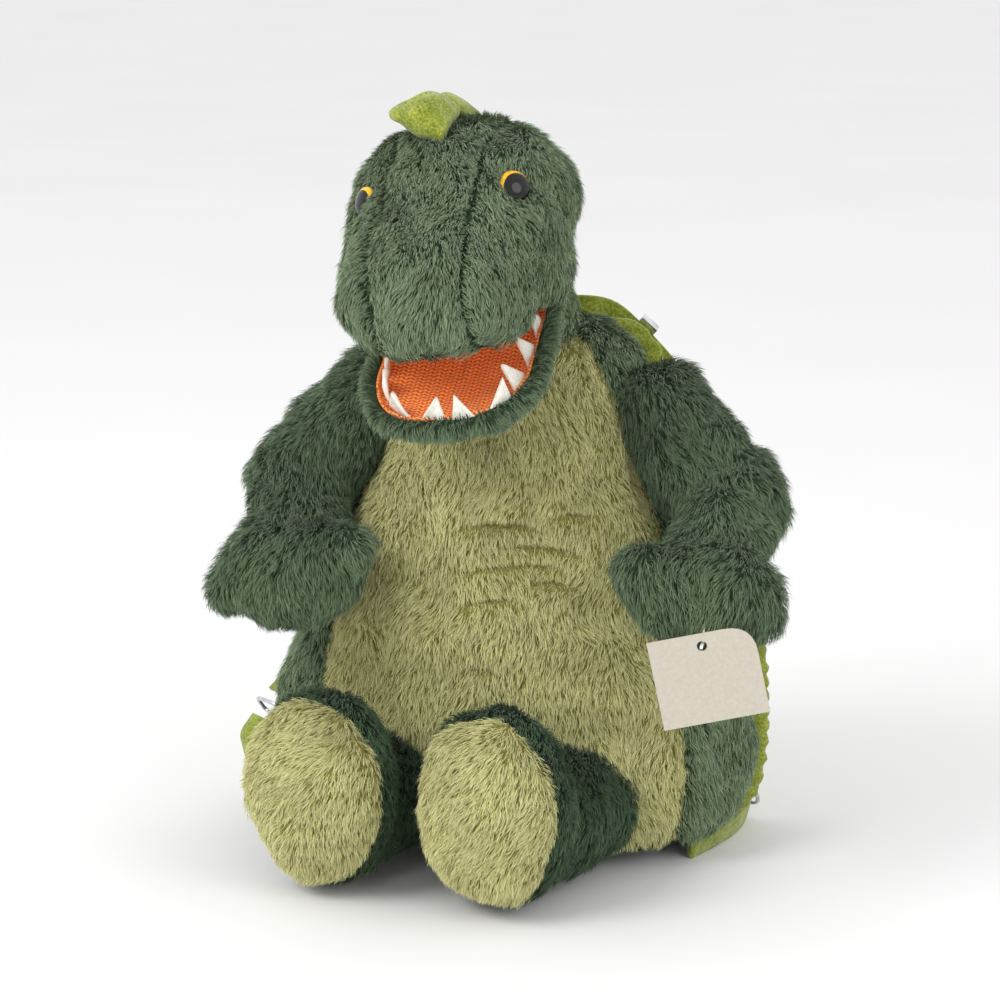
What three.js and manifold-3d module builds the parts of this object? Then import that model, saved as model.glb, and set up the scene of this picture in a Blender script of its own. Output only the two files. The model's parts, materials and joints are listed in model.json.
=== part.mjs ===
// A stuffed dinosaur that is worn as a small backpack. It sits on the floor and faces -Y, its own left
// is +X, Z is up, and the floor is z = 0. All sizes are in millimetres.
import * as THREE from "three";
import { mergeVertices } from "three/addons/utils/BufferGeometryUtils.js";
import Module from "manifold-3d";

const wasm = await Module();
wasm.setup();

// ---------------------------------------------------------------- driving sizes
const TORSO_HEIGHT = 268;
const TORSO_HALF_WIDTH = 120;
const TORSO_FRONT = 60; // from the middle plane to the belly
const BACK_PLANE = 50; // the flat back that lies against the wearer
const FRONT_FULLNESS = 0.6; // below 1, the belly stays deep where the torso is narrow
const BACK_FULLNESS = 0.8; // depth behind the middle plane against the half width, before the flat back
// The belly panel's edge from the floor up to the chin, as shares of the torso's half width and height.
const BELLY_EDGE = [[0.72, 0], [0.78, 0.19], [0.75, 0.37], [0.64, 0.63], [0.49, 0.83], [0.33, 0.97]];
const BASE_SEAM = 14; // where the base panel meets the panels above it
const FUR = 8; // backing cloth and pile together
const SEAM_GAP = 0.4; // between two pieces that are sewn or lie together
const MOVING_GAP = 1.7; // between a limb and the body that it swings on

const offset = (from, by) => from.map((f, i) => f + by[i]);
const SHOULDER = [TORSO_HALF_WIDTH * 0.6, 2, TORSO_HEIGHT * 0.843];
const SHOULDER_REACH = 40; // how far outwards the torso stays clear of the arm's root
const YOKE_RISE = 6; // the shoulder panels' lower seam, above the shoulder joint
const ARM_RADIUS = 29;
const ARM_LIFT = 35; // degrees, forwards and up
// Both elbows and hands are measured on the left side; the right arm is then mirrored.
const ELBOW = {
  left: offset(SHOULDER, [43, -24, TORSO_HEIGHT * -0.157]),
  right: offset(SHOULDER, [33, -26, TORSO_HEIGHT * -0.149]),
};
const HAND = {
  left: offset(SHOULDER, [37, -72, TORSO_HEIGHT * -0.272]),
  right: offset(SHOULDER, [22, -76, TORSO_HEIGHT * -0.272]),
};
const WRIST = 0.25; // where the forearm ends, as a share of the way from the hand back to the elbow
const THUMB_DEPTH = 30; // in front of the middle plane, past which the hand may cross the arm's inner seam
const HAND_RADII = [40, 25, 30];
const FINGER_RADIUS = 14;
const FINGERS = [[-32, -4, 14], [30, -3, -10], [8, -3, -16]]; // thumb first, from the middle of the hand

const HIP = { left: [TORSO_HALF_WIDTH * 0.333, -42, 37], right: [TORSO_HALF_WIDTH * -0.45, -42, 37] };
const LEG_TURN = { left: -18, right: -17 }; // degrees about Z: both feet lean to the toy's right
const LEG_RADIUS = 35;
const LEG_LENGTH = { left: 68, right: 58 }; // hip centre to the middle of the foot
const FOOT_RADII = [43, 34, 49];
const SOLE_SETBACK = 3; // how far the flat sole seam lies in front of the foot's middle
const LEG_LIFT = 25;
const HIP_GAP = 2.4; // round a leg in its hip

const NECK = [-6, 2, TORSO_HEIGHT - 3];
const NECK_RADIUS = 42;
const HEAD_TURN = -3; // degrees about Z
const HEAD_TILT = 8; // degrees to the toy's right
const CRANIUM = [0, -34, 64];
const CRANIUM_RADII = [58, 57, 46];
const SNOUT = [0, -92, 31];
const SNOUT_RADII = [51, 46, 39];
const CHEEK = [0, -44, 36];
const CHEEK_RADII = [55, 46, 42];
const BRIDGE = [0, -66, 34];
const BRIDGE_RADII = [50, 46, 38];
const CHEEK_FLOOR = 15; // underside of the head behind the jaw
const GUSSET_HALF_WIDTH = 22;

const JAW_HINGE = [0, -44, 17];
const JAW_DROP = 33; // degrees that the rim slopes down at rest
const JAW_SWING = [-4, 0, 4.5, 9]; // degrees on from rest at which it is kept clear of the neck
const PALATE_DROP = 12;
const JAW_LENGTH = 85;
const JAW_HALF_WIDTH = 46;
const JAW_DEPTH = 24;
const JAW_ROUNDNESS = 0.75; // of its outline: 1 is an ellipse, less is squarer
const JAW_STEEPEST = 80; // degrees of the bowl's section, from its rim to its flat bottom
const JAW_WALL = 9;
const LINING = 1.6; // knit lining cloth

const TEETH = 9;
const TOOTH_SPREAD = 102; // degrees round the jaw on either side of its front
const TOOTH_SHARE = 0.84; // of the space that each tooth has along the rim
const TOOTH_INSET = 4; // from the jaw's outside
const TOOTH_HEIGHT = 12;
const TOOTH_LEAN = 20; // degrees inwards
const FELT = 2;

const EYE_DIAMETER = 17;
const EYE_TURN = 44; // degrees out from straight ahead, on the cranium
const EYE_RISE = 13;
const EYE_STEM_RADIUS = 2.4;
const EYE_STEM = 18;
const WASHER_RADIUS = 8;
const WASHER_THICK = 1.6;

const SPIKES = 3;
const SPIKE_BASE = 32;
const SPIKE_HEIGHT = 24;
const SPIKE_STEP = 43; // degrees from one spike to the next, over the crown
const SPIKE_FIRST = 26; // how far in front of the crown's top the first one stands
const SPIKE_THICK = 6;
const SPIKE_FLOP = 58; // degrees that each one has fallen to the toy's right
const SPIKE_SINK = 5; // the sewn-in foot of a spike

const ZIP_HEIGHT = TORSO_HEIGHT - 90;
const ZIP_HALF_LENGTH = 58;
const ZIP_TAPE = 9;
const ZIP_TAPE_THICK = 1.4;
const ZIP_SLIDER = [8, 5, 12];
const ZIP_PULL = [7, 1.6, 26];
const DIVIDER = 8; // the wall between the stuffing and the pocket

const STRAP_WIDTH = 24;
const STRAP_THICK = 3;
const STRAP_ROOM = 1.4; // between the strap and its adjuster
// The left strap's route from behind the neck over the shoulder and down the back's edge: a share of
// the torso's half width, a depth, and a share of its height.
const STRAP_ROUTE = [
  [0.125, 52.5, 0.94],
  [0.283, 54, 0.959],
  [0.5, 58, 0.881],
  [0.7, 70, 0.746],
  [0.85, 80, 0.522],
  [0.9, 76, 0.313],
].map(([x, y, z]) => [x * TORSO_HALF_WIDTH, y, z * TORSO_HEIGHT]);
const STRAP_FOOT = [TORSO_HALF_WIDTH * 0.917, 61, 26]; // middle of the upper bar of the ring
const ADJUSTER_LENGTH = 9;
const ADJUSTER_PLACE = 0.13; // a share of the strap's length from its sewn end
const BUCKLE_BAR = 1.8;
const RING_SIZE = [27, 14]; // between the middles of its bars
const RING_WIRE = 1.5;
const TAB_ROUTE = [[0, -11, -20], [-2, -30, -21], [-7, -58, -21]]; // from the middle of the upper bar

const TAG_SIZE = [50, 43];
const TAG_THICK = 0.8;
const TAG_ROUND = 14;
const TAG_HOLE = 2.4;
const TAG_AT = offset(HAND.left, [3, -29, -11]); // middle of its upper edge
const TAG_TURN = 10;
const TAG_TILT = -12;
const THREAD = 1.2;

// ---------------------------------------------------------------- materials
const cloth = (color, roughness = 0.95) => new THREE.MeshStandardMaterial({ color, roughness, metalness: 0 });
const MATERIAL = {
  green: cloth(0x4f7a5c),
  darkGreen: cloth(0x2c4a38),
  olive: cloth(0xa0a65c),
  lime: cloth(0xa6ba4a),
  orange: cloth(0xd9652f, 0.9),
  felt: cloth(0xf2efe6),
  stuffing: cloth(0xf5f5f2),
  lining: cloth(0x6a7f58),
  zip: cloth(0x8d9a45),
  card: cloth(0xece5d8, 0.7),
  plastic: new THREE.MeshStandardMaterial({ color: 0xf4f4f4, roughness: 0.35, metalness: 0 }),
  eye: new THREE.MeshStandardMaterial({ color: 0x0a0806, roughness: 0.08, metalness: 0 }),
  steel: new THREE.MeshStandardMaterial({ color: 0xc9cccf, roughness: 0.2, metalness: 1 }),
};

// ---------------------------------------------------------------- solids
const RAD = Math.PI / 180;
const vec = (a) => new THREE.Vector3(...a);
const mirrorX = ([x, y, z], side) => [x * side, y, z];

// A closed three.js geometry as a solid that can be cut and joined.
function solid(geometry) {
  const plain = geometry.clone();
  plain.deleteAttribute("normal");
  plain.deleteAttribute("uv");
  const merged = mergeVertices(plain, 1e-3);
  return new wasm.Manifold(
    new wasm.Mesh({
      numProp: 3,
      vertProperties: new Float32Array(merged.attributes.position.array),
      triVerts: new Uint32Array(merged.index.array),
    }),
  );
}

function moved(made, matrix) {
  return made.transform(matrix.elements);
}

const shifted = (made, at) => moved(made, new THREE.Matrix4().makeTranslation(...at));

function ellipsoid(centre, radii, inset = 0, around = 12, up = 7) {
  const ball = new THREE.SphereGeometry(1, around, up).rotateX(Math.PI / 2);
  ball.scale(radii[0] - inset, radii[1] - inset, radii[2] - inset).translate(...centre);
  return solid(ball);
}

function rod(from, to, radius, around = 8, rings = 2) {
  const a = vec(from);
  const b = vec(to);
  const capsule = new THREE.CapsuleGeometry(radius, a.distanceTo(b), rings, around);
  const turn = new THREE.Quaternion().setFromUnitVectors(new THREE.Vector3(0, 1, 0), b.clone().sub(a).normalize());
  capsule.applyQuaternion(turn).translate(...a.add(b).multiplyScalar(0.5).toArray());
  return solid(capsule);
}

function block(low, high) {
  const size = high.map((h, i) => h - low[i]);
  const middle = high.map((h, i) => (h + low[i]) / 2);
  return solid(new THREE.BoxGeometry(...size).translate(...middle));
}

const FAR = 600;
const side = (axis, from, to) => {
  const low = [-FAR, -FAR, -FAR];
  const high = [FAR, FAR, FAR];
  low[axis] = from;
  high[axis] = to;
  return block(low, high);
};
const [X, Y, Z] = [0, 1, 2];

// Rings of equally many points, each ring anticlockwise seen against the direction of travel, closed at both ends.
function loft(rings) {
  const count = rings[0].length;
  const points = rings.flat();
  const faces = [];
  for (let r = 0; r + 1 < rings.length; r++)
    for (let i = 0; i < count; i++) {
      const a = r * count + i;
      const b = r * count + ((i + 1) % count);
      faces.push(a, b, b + count, a, b + count, a + count);
    }
  const close = (ring, start, flip) => {
    const middle = ring.reduce((sum, p) => sum.add(p), new THREE.Vector3()).divideScalar(count);
    points.push(middle);
    for (let i = 0; i < count; i++) {
      const a = start + i;
      const b = start + ((i + 1) % count);
      faces.push(points.length - 1, ...(flip ? [b, a] : [a, b]));
    }
  };
  close(rings[0], 0, true);
  close(rings[rings.length - 1], (rings.length - 1) * count, false);
  const geometry = new THREE.BufferGeometry().setFromPoints(points);
  geometry.setIndex(faces);
  return solid(geometry);
}

// A flat band along a curve, its broad side facing outward.
function band(points, width, thickness, outward, steps = 16) {
  const curve = new THREE.CatmullRomCurve3(points.map(vec));
  const rings = [];
  for (let i = 0; i <= steps; i++) {
    const at = curve.getPointAt(i / steps);
    const along = curve.getTangentAt(i / steps);
    const across = new THREE.Vector3().crossVectors(along, vec(outward)).setLength(width / 2);
    const through = new THREE.Vector3().crossVectors(across, along).setLength(thickness / 2);
    rings.push(
      [[1, 1], [1, -1], [-1, -1], [-1, 1]].map(([a, t]) =>
        at.clone().addScaledVector(across, a).addScaledVector(through, t),
      ),
    );
  }
  return loft(rings);
}

function plate(shape, thickness) {
  const geometry = new THREE.ExtrudeGeometry(shape, { depth: thickness, bevelEnabled: false, curveSegments: 6 });
  return solid(geometry.translate(0, 0, -thickness / 2));
}

function cylinder(radius, height, around = 20) {
  return solid(new THREE.CylinderGeometry(radius, radius, height, around).rotateX(Math.PI / 2));
}

const root = new THREE.Group();
root.name = "stuffed_dinosaur_backpack";

function add(name, made, material, parent = root) {
  const { numProp, vertProperties, triVerts } = made.getMesh();
  const positions = new Float32Array((vertProperties.length / numProp) * 3);
  for (let i = 0; i < positions.length / 3; i++)
    positions.set(vertProperties.subarray(i * numProp, i * numProp + 3), i * 3);
  const geometry = new THREE.BufferGeometry();
  geometry.setAttribute("position", new THREE.BufferAttribute(positions, 3));
  geometry.setIndex(new THREE.BufferAttribute(triVerts, 1));
  geometry.computeVertexNormals();
  const mesh = new THREE.Mesh(geometry, material);
  mesh.name = name;
  parent.add(mesh);
}

// ---------------------------------------------------------------- torso
// Half width of the torso at a share of its height, and how deep it is against that width.
const widthAt = new THREE.SplineCurve(
  [[0.84, 0], [0.97, 0.08], [1, 0.22], [0.97, 0.4], [0.85, 0.58], [0.69, 0.75], [0.57, 0.88], [0.47, 0.97], [0.38, 1]]
    .map(([share, up]) => new THREE.Vector2(share * TORSO_HALF_WIDTH, up)),
);

function torsoForm(inset) {
  const around = 16;
  const rings = widthAt.getPoints(8).map((p) => {
    const z = inset + Math.min(Math.max(p.y, 0), 1) * (TORSO_HEIGHT - 2 * inset);
    const front = TORSO_FRONT * (p.x / TORSO_HALF_WIDTH) ** FRONT_FULLNESS;
    const back = BACK_FULLNESS * p.x;
    return Array.from({ length: around }, (_, i) => {
      const angle = (2 * Math.PI * i) / around;
      const depth = Math.sin(angle) < 0 ? front : back;
      return new THREE.Vector3((p.x - inset) * Math.cos(angle), (depth - inset) * Math.sin(angle), z);
    });
  });
  return loft(rings).intersect(side(Y, -FAR, BACK_PLANE - inset));
}

const legPlacing = (which) =>
  new THREE.Matrix4()
    .makeTranslation(...HIP[which])
    .multiply(new THREE.Matrix4().makeRotationZ(LEG_TURN[which] * RAD));

// What the legs and arms sweep as they swing, so that the torso stays clear of them.
function swing(made, pivotMatrix, degrees) {
  const turned = pivotMatrix
    .clone()
    .multiply(new THREE.Matrix4().makeRotationX(-degrees * RAD))
    .multiply(pivotMatrix.clone().invert());
  return moved(made, turned);
}

function hipClearance(which) {
  const placing = legPlacing(which);
  const thigh = moved(rod([0, 0, 0], [0, -LEG_LENGTH[which], 0], LEG_RADIUS + HIP_GAP, 10, 4), placing);
  return [0, LEG_LIFT].map((lift) => swing(thigh, placing, lift)).reduce((a, b) => a.add(b));
}

function shoulderClearance(sign) {
  const [x, y, z] = mirrorX(SHOULDER, sign);
  const drum = new THREE.CylinderGeometry(ARM_RADIUS + MOVING_GAP, ARM_RADIUS + MOVING_GAP, SHOULDER_REACH, 20);
  return solid(drum.rotateZ(Math.PI / 2).translate(x + sign * (SHOULDER_REACH / 2 - MOVING_GAP), y, z));
}

const neckBall = (centre, grow) => ellipsoid(centre, [NECK_RADIUS, NECK_RADIUS, NECK_RADIUS], -grow, 18, 10);
const limbRoom = [hipClearance("left"), hipClearance("right"), shoulderClearance(1), shoulderClearance(-1)]
  .reduce((a, b) => a.add(b));

function bellyCutter(grow) {
  const edge = BELLY_EDGE.map(
    ([half, up]) => new THREE.Vector2(half * TORSO_HALF_WIDTH + grow, up === 0 ? -FAR : up * TORSO_HEIGHT),
  );
  edge[edge.length - 1].y += grow;
  const mirrored = edge.map((p) => new THREE.Vector2(-p.x, p.y)).reverse();
  const outline = new THREE.Shape([...edge, ...mirrored]);
  const geometry = new THREE.ExtrudeGeometry(outline, { depth: FAR, bevelEnabled: false });
  return solid(geometry.rotateX(Math.PI / 2));
}

const skin = torsoForm(0).subtract(torsoForm(FUR)).subtract(limbRoom).subtract(neckBall(NECK, MOVING_GAP));
const aboveBase = side(Z, BASE_SEAM + SEAM_GAP, FAR);
const infront = side(Y, -FAR, BACK_PLANE - FUR - SEAM_GAP);
const upright = skin.intersect(aboveBase).intersect(infront);
const flanks = upright.subtract(bellyCutter(SEAM_GAP));
add("belly_panel", upright.intersect(bellyCutter(0)), MATERIAL.olive);
const yokeSeam = SHOULDER[2] + YOKE_RISE;
add("side_panel_left", flanks.intersect(side(X, 0, FAR)).intersect(side(Z, -FAR, yokeSeam)), MATERIAL.green);
add("side_panel_right", flanks.intersect(side(X, -FAR, 0)).intersect(side(Z, -FAR, yokeSeam)), MATERIAL.green);
const yoke = flanks.intersect(side(Z, yokeSeam + SEAM_GAP, FAR));
add("neck_yoke_left", yoke.intersect(side(X, SEAM_GAP / 2, FAR)), MATERIAL.green);
add("neck_yoke_right", yoke.intersect(side(X, -FAR, -SEAM_GAP / 2)), MATERIAL.green);
add("base_panel", skin.intersect(side(Z, 0, BASE_SEAM)).intersect(infront), MATERIAL.green);
add("neck_stuffing", neckBall(NECK, 0), MATERIAL.green);

const backSlab = torsoForm(0)
  .intersect(side(Y, BACK_PLANE - FUR, FAR))
  .subtract(limbRoom)
  .subtract(neckBall(NECK, MOVING_GAP));
const zipRoom = block(
  [-ZIP_HALF_LENGTH - SEAM_GAP, -FAR, ZIP_HEIGHT - ZIP_TAPE - SEAM_GAP],
  [ZIP_HALF_LENGTH + SEAM_GAP, FAR, ZIP_HEIGHT + ZIP_TAPE + SEAM_GAP],
);
const backOpen = backSlab.subtract(zipRoom);
add("back_panel_upper", backOpen.intersect(side(Z, ZIP_HEIGHT + SEAM_GAP, FAR)), MATERIAL.lime);
add("back_panel_lower", backOpen.intersect(side(Z, -FAR, ZIP_HEIGHT - SEAM_GAP)), MATERIAL.lime);

const cavity = torsoForm(FUR + SEAM_GAP).subtract(limbRoom).subtract(neckBall(NECK, MOVING_GAP));
add("torso_stuffing", cavity.intersect(side(Y, -FAR, DIVIDER - SEAM_GAP)), MATERIAL.stuffing);
const bagBack = BACK_PLANE - FUR - SEAM_GAP;
const bag = cavity.intersect(side(Y, DIVIDER, bagBack)).intersect(side(Z, 0, NECK[2] - NECK_RADIUS));
const bagInside = torsoForm(FUR + SEAM_GAP + LINING)
  .intersect(side(Y, DIVIDER + LINING, bagBack - LINING))
  .intersect(side(Z, 0, NECK[2] - NECK_RADIUS - LINING));
const bagMouth = block(
  [-ZIP_HALF_LENGTH, DIVIDER + LINING, ZIP_HEIGHT - ZIP_TAPE],
  [ZIP_HALF_LENGTH, FAR, ZIP_HEIGHT + ZIP_TAPE],
);
add("pocket_lining", bag.subtract(bagInside).subtract(bagMouth), MATERIAL.lining);

// ---------------------------------------------------------------- zip
const tapeFace = BACK_PLANE - 1;
for (const [name, sign] of [["upper", 1], ["lower", -1]]) {
  const low = ZIP_HEIGHT + (sign > 0 ? SEAM_GAP / 2 : -ZIP_TAPE);
  const high = ZIP_HEIGHT + (sign > 0 ? ZIP_TAPE : -SEAM_GAP / 2);
  const tape = block([-ZIP_HALF_LENGTH, tapeFace - ZIP_TAPE_THICK, low], [ZIP_HALF_LENGTH, tapeFace, high]);
  add("zip_tape_" + name, tape, MATERIAL.zip);
}
const sliderBack = tapeFace + SEAM_GAP;
const sliderFront = sliderBack + ZIP_SLIDER[1];
const sliderX = -ZIP_HALF_LENGTH + ZIP_SLIDER[0] / 2 + 2;
add(
  "zip_slider",
  block(
    [sliderX - ZIP_SLIDER[0] / 2, sliderBack, ZIP_HEIGHT - ZIP_SLIDER[2] / 2],
    [sliderX + ZIP_SLIDER[0] / 2, sliderFront, ZIP_HEIGHT + ZIP_SLIDER[2] / 2],
  ),
  MATERIAL.steel,
);
const pullTop = ZIP_HEIGHT + 2;
add(
  "zip_pull",
  block(
    [sliderX - ZIP_PULL[0] / 2, sliderFront + SEAM_GAP, pullTop - ZIP_PULL[2]],
    [sliderX + ZIP_PULL[0] / 2, sliderFront + SEAM_GAP + ZIP_PULL[1], pullTop],
  ),
  MATERIAL.steel,
);

// ---------------------------------------------------------------- arms
function armForm(which, inset) {
  const sign = which === "left" ? 1 : -1;
  const place = (p) => mirrorX(p, sign);
  const [elbow, hand] = [ELBOW[which], HAND[which]];
  const wrist = hand.map((h, i) => h + (elbow[i] - h) * WRIST);
  const pieces = [
    rod(place(SHOULDER), place(elbow), ARM_RADIUS - inset),
    rod(place(elbow), place(wrist), ARM_RADIUS - 2 - inset),
    ellipsoid(place(hand), HAND_RADII, inset),
  ];
  if (inset === 0)
    for (const finger of FINGERS)
      pieces.push(ellipsoid(place(offset(hand, finger)), [FINGER_RADIUS, FINGER_RADIUS, FINGER_RADIUS], 0, 12, 8));
  const seam = SHOULDER[0];
  const outside = sign > 0 ? side(X, seam, FAR) : side(X, -FAR, -seam);
  const thumbZone = block([-FAR, -FAR, -FAR], [FAR, -THUMB_DEPTH, FAR]);
  return pieces.reduce((a, b) => a.add(b)).intersect(outside.add(thumbZone));
}

// The room that the torso takes up, as the arm meets it at rest, half lifted and lifted.
const torsoRoom = torsoForm(-MOVING_GAP);
const shoulderPivot = new THREE.Matrix4().makeTranslation(...SHOULDER);
const torsoKeepOut = [0, ARM_LIFT / 2, ARM_LIFT]
  .map((lift) => swing(torsoRoom, shoulderPivot, -lift))
  .reduce((a, b) => a.add(b));
for (const which of ["left", "right"]) {
  const outer = armForm(which, 0).subtract(torsoKeepOut);
  add("arm_cover_" + which, outer.subtract(armForm(which, FUR)), MATERIAL.green);
  const filling = armForm(which, FUR + SEAM_GAP).subtract(torsoKeepOut);
  add("arm_stuffing_" + which, filling, MATERIAL.stuffing);
}

// ---------------------------------------------------------------- legs
function legForm(which, inset) {
  const foot = [0, -LEG_LENGTH[which], FOOT_RADII[2] - HIP[which][2]];
  const form = rod([0, 0, 0], [0, -LEG_LENGTH[which], 0], LEG_RADIUS - inset, 10, 4);
  return form.add(ellipsoid(foot, FOOT_RADII, inset));
}

for (const which of ["left", "right"]) {
  const placing = legPlacing(which);
  const soleSeam = -LEG_LENGTH[which] - SOLE_SETBACK;
  const shell = legForm(which, 0).subtract(legForm(which, FUR));
  const cover = shell.intersect(side(Y, soleSeam + SEAM_GAP, FAR)).subtract(side(Y, 0, FAR));
  const cap = shell.intersect(side(Y, -FAR, soleSeam));
  const filling = legForm(which, FUR + SEAM_GAP);
  add("leg_cover_" + which, moved(cover, placing), MATERIAL.darkGreen);
  add("foot_sole_" + which, moved(cap, placing), MATERIAL.olive);
  add("leg_stuffing_" + which, moved(filling, placing), MATERIAL.stuffing);
}

// ---------------------------------------------------------------- head
const headPlacing = new THREE.Matrix4()
  .makeTranslation(...NECK)
  .multiply(new THREE.Matrix4().makeRotationZ(HEAD_TURN * RAD))
  .multiply(new THREE.Matrix4().makeRotationY(-HEAD_TILT * RAD));
const placeHead = (made) => moved(made, headPlacing);

function headForm(inset) {
  return ellipsoid(CRANIUM, CRANIUM_RADII, inset)
    .add(ellipsoid(SNOUT, SNOUT_RADII, inset))
    .add(ellipsoid(CHEEK, CHEEK_RADII, inset))
    .add(ellipsoid(BRIDGE, BRIDGE_RADII, inset));
}

// Everything under a plane through the jaw hinge that slopes down towards the nose.
function underPlane(drop, lift = 0, floor = -FAR) {
  const slab = block([-FAR, -FAR, floor], [FAR, 0, lift]);
  const turn = new THREE.Matrix4().makeTranslation(...JAW_HINGE).multiply(
    new THREE.Matrix4().makeRotationX(drop * RAD),
  );
  return moved(slab, turn);
}

const mouthRoom = underPlane(PALATE_DROP);
const localNeck = neckBall([0, 0, 0], MOVING_GAP);
const shoulderRoom = block([-FAR, JAW_HINGE[1], -FAR], [FAR, FAR, CHEEK_FLOOR]);
const headSkin = headForm(0)
  .subtract(headForm(FUR))
  .subtract(mouthRoom)
  .subtract(localNeck)
  .subtract(shoulderRoom);

function eyeTools(sign) {
  const onBall = new THREE.Vector3().setFromSphericalCoords(1, (90 - EYE_RISE) * RAD, EYE_TURN * sign * RAD);
  const direction = new THREE.Vector3(onBall.x, -onBall.z, onBall.y);
  const at = direction.clone().multiply(vec(CRANIUM_RADII)).add(vec(CRANIUM));
  const outward = direction.clone().divide(vec(CRANIUM_RADII)).normalize();
  const turn = new THREE.Quaternion().setFromUnitVectors(new THREE.Vector3(0, 0, 1), outward);
  const placing = new THREE.Matrix4().compose(at, turn, new THREE.Vector3(1, 1, 1));
  const radius = EYE_DIAMETER / 2;
  const dome = ellipsoid([0, 0, 0], [radius, radius, radius * 0.7], 0, 12, 6).intersect(side(Z, 0, FAR));
  const stem = shifted(cylinder(EYE_STEM_RADIUS, EYE_STEM, 12), [0, 0, -EYE_STEM / 2 + 0.5]);
  const washerZ = -EYE_STEM + WASHER_THICK + 1;
  const washer = shifted(cylinder(WASHER_RADIUS, WASHER_THICK, 12), [0, 0, washerZ]).subtract(
    shifted(cylinder(EYE_STEM_RADIUS + SEAM_GAP, WASHER_THICK * 3, 12), [0, 0, washerZ]),
  );
  const hole = shifted(cylinder(radius + SEAM_GAP, FAR, 12), [0, 0, FAR / 2 - SEAM_GAP]).add(
    shifted(cylinder(EYE_STEM_RADIUS + SEAM_GAP, EYE_STEM * 2, 12), [0, 0, -EYE_STEM + 1]),
  );
  const well = shifted(cylinder(WASHER_RADIUS + SEAM_GAP, EYE_STEM * 4, 12), [0, 0, EYE_STEM - SEAM_GAP * 2]);
  return {
    eye: moved(dome.add(stem), placing),
    washer: moved(washer, placing),
    hole: moved(hole, placing),
    well: moved(well, placing),
  };
}

const eyes = { left: eyeTools(1), right: eyeTools(-1) };
const eyeHoles = eyes.left.hole.add(eyes.right.hole);
const eyeWells = eyes.left.well.add(eyes.right.well);

// How far the crown lies from the cranium's middle at an angle from straight up.
const crownReach = (angle) =>
  1 / Math.hypot(Math.cos(angle) / CRANIUM_RADII[2], Math.sin(angle) / CRANIUM_RADII[1]);

// A row of padded spikes along the middle of the crown, each sewn into the gusset.
function spike(index, grow) {
  const half = SPIKE_BASE / 2 + grow;
  const outline = new THREE.Shape();
  outline.moveTo(-half, -SPIKE_SINK - grow);
  outline.lineTo(half, -SPIKE_SINK - grow);
  outline.quadraticCurveTo(half * 0.9, SPIKE_HEIGHT * 0.7, -half * 0.25, SPIKE_HEIGHT + grow);
  outline.quadraticCurveTo(-half * 0.9, SPIKE_HEIGHT * 0.5, -half, -SPIKE_SINK - grow);
  const form = plate(outline, SPIKE_THICK + 2 * grow);
  const angle = (SPIKE_FIRST - index * SPIKE_STEP) * RAD;
  const turn = new THREE.Matrix4()
    .makeTranslation(CRANIUM[0], CRANIUM[1], CRANIUM[2])
    .multiply(new THREE.Matrix4().makeRotationX(angle))
    .multiply(new THREE.Matrix4().makeTranslation(0, 0, crownReach(angle)))
    .multiply(new THREE.Matrix4().makeRotationY(-SPIKE_FLOP * RAD))
    .multiply(new THREE.Matrix4().makeBasis(
      new THREE.Vector3(0, 1, 0),
      new THREE.Vector3(0, 0, 1),
      new THREE.Vector3(1, 0, 0),
    ));
  return moved(form, turn);
}

const spikeNumbers = Array.from({ length: SPIKES }, (_, i) => i);
const spikeSlots = spikeNumbers.map((i) => spike(i, SEAM_GAP)).reduce((a, b) => a.add(b));

const headPanels = headSkin.subtract(eyeHoles).subtract(spikeSlots);
const gusset = side(X, -GUSSET_HALF_WIDTH, GUSSET_HALF_WIDTH);
add("head_gusset", placeHead(headPanels.intersect(gusset)), MATERIAL.green);
const cheekPanel = (low, high) => placeHead(headPanels.intersect(side(X, low, high)));
add("head_side_left", cheekPanel(GUSSET_HALF_WIDTH + SEAM_GAP, FAR), MATERIAL.green);
add("head_side_right", cheekPanel(-FAR, -GUSSET_HALF_WIDTH - SEAM_GAP), MATERIAL.green);

const headInside = headForm(FUR + SEAM_GAP).subtract(localNeck).subtract(shoulderRoom);
const palateRoom = underPlane(PALATE_DROP, LINING + SEAM_GAP);
add(
  "head_stuffing",
  placeHead(headInside.subtract(palateRoom).subtract(eyeHoles).subtract(eyeWells).subtract(spikeSlots)),
  MATERIAL.stuffing,
);
const palate = headInside.intersect(underPlane(PALATE_DROP, LINING, 0));
add("palate_lining", placeHead(palate), MATERIAL.orange);
for (const which of ["left", "right"]) {
  add("eye_" + which, placeHead(eyes[which].eye), MATERIAL.eye);
  add("eye_washer_" + which, placeHead(eyes[which].washer), MATERIAL.plastic);
}
for (const i of spikeNumbers) add("crest_spike_" + (i + 1), placeHead(spike(i, 0)), MATERIAL.lime);

// ---------------------------------------------------------------- jaw
// The jaw in its own frame: hinge at the origin, rim in the plane z = 0, reaching along -Y.
const jawPlacing = headPlacing
  .clone()
  .multiply(new THREE.Matrix4().makeTranslation(...JAW_HINGE))
  .multiply(new THREE.Matrix4().makeRotationX(JAW_DROP * RAD));
const jawMiddle = -JAW_LENGTH / 2 - MOVING_GAP;
const squared = (t) => Math.sign(t) * Math.abs(t) ** JAW_ROUNDNESS;
const jawPoint = (angle, inset, share, z) =>
  new THREE.Vector3(
    (JAW_HALF_WIDTH - inset) * share * squared(Math.cos(angle)),
    jawMiddle + (JAW_LENGTH / 2 - inset) * share * squared(Math.sin(angle)),
    z,
  );

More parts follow.
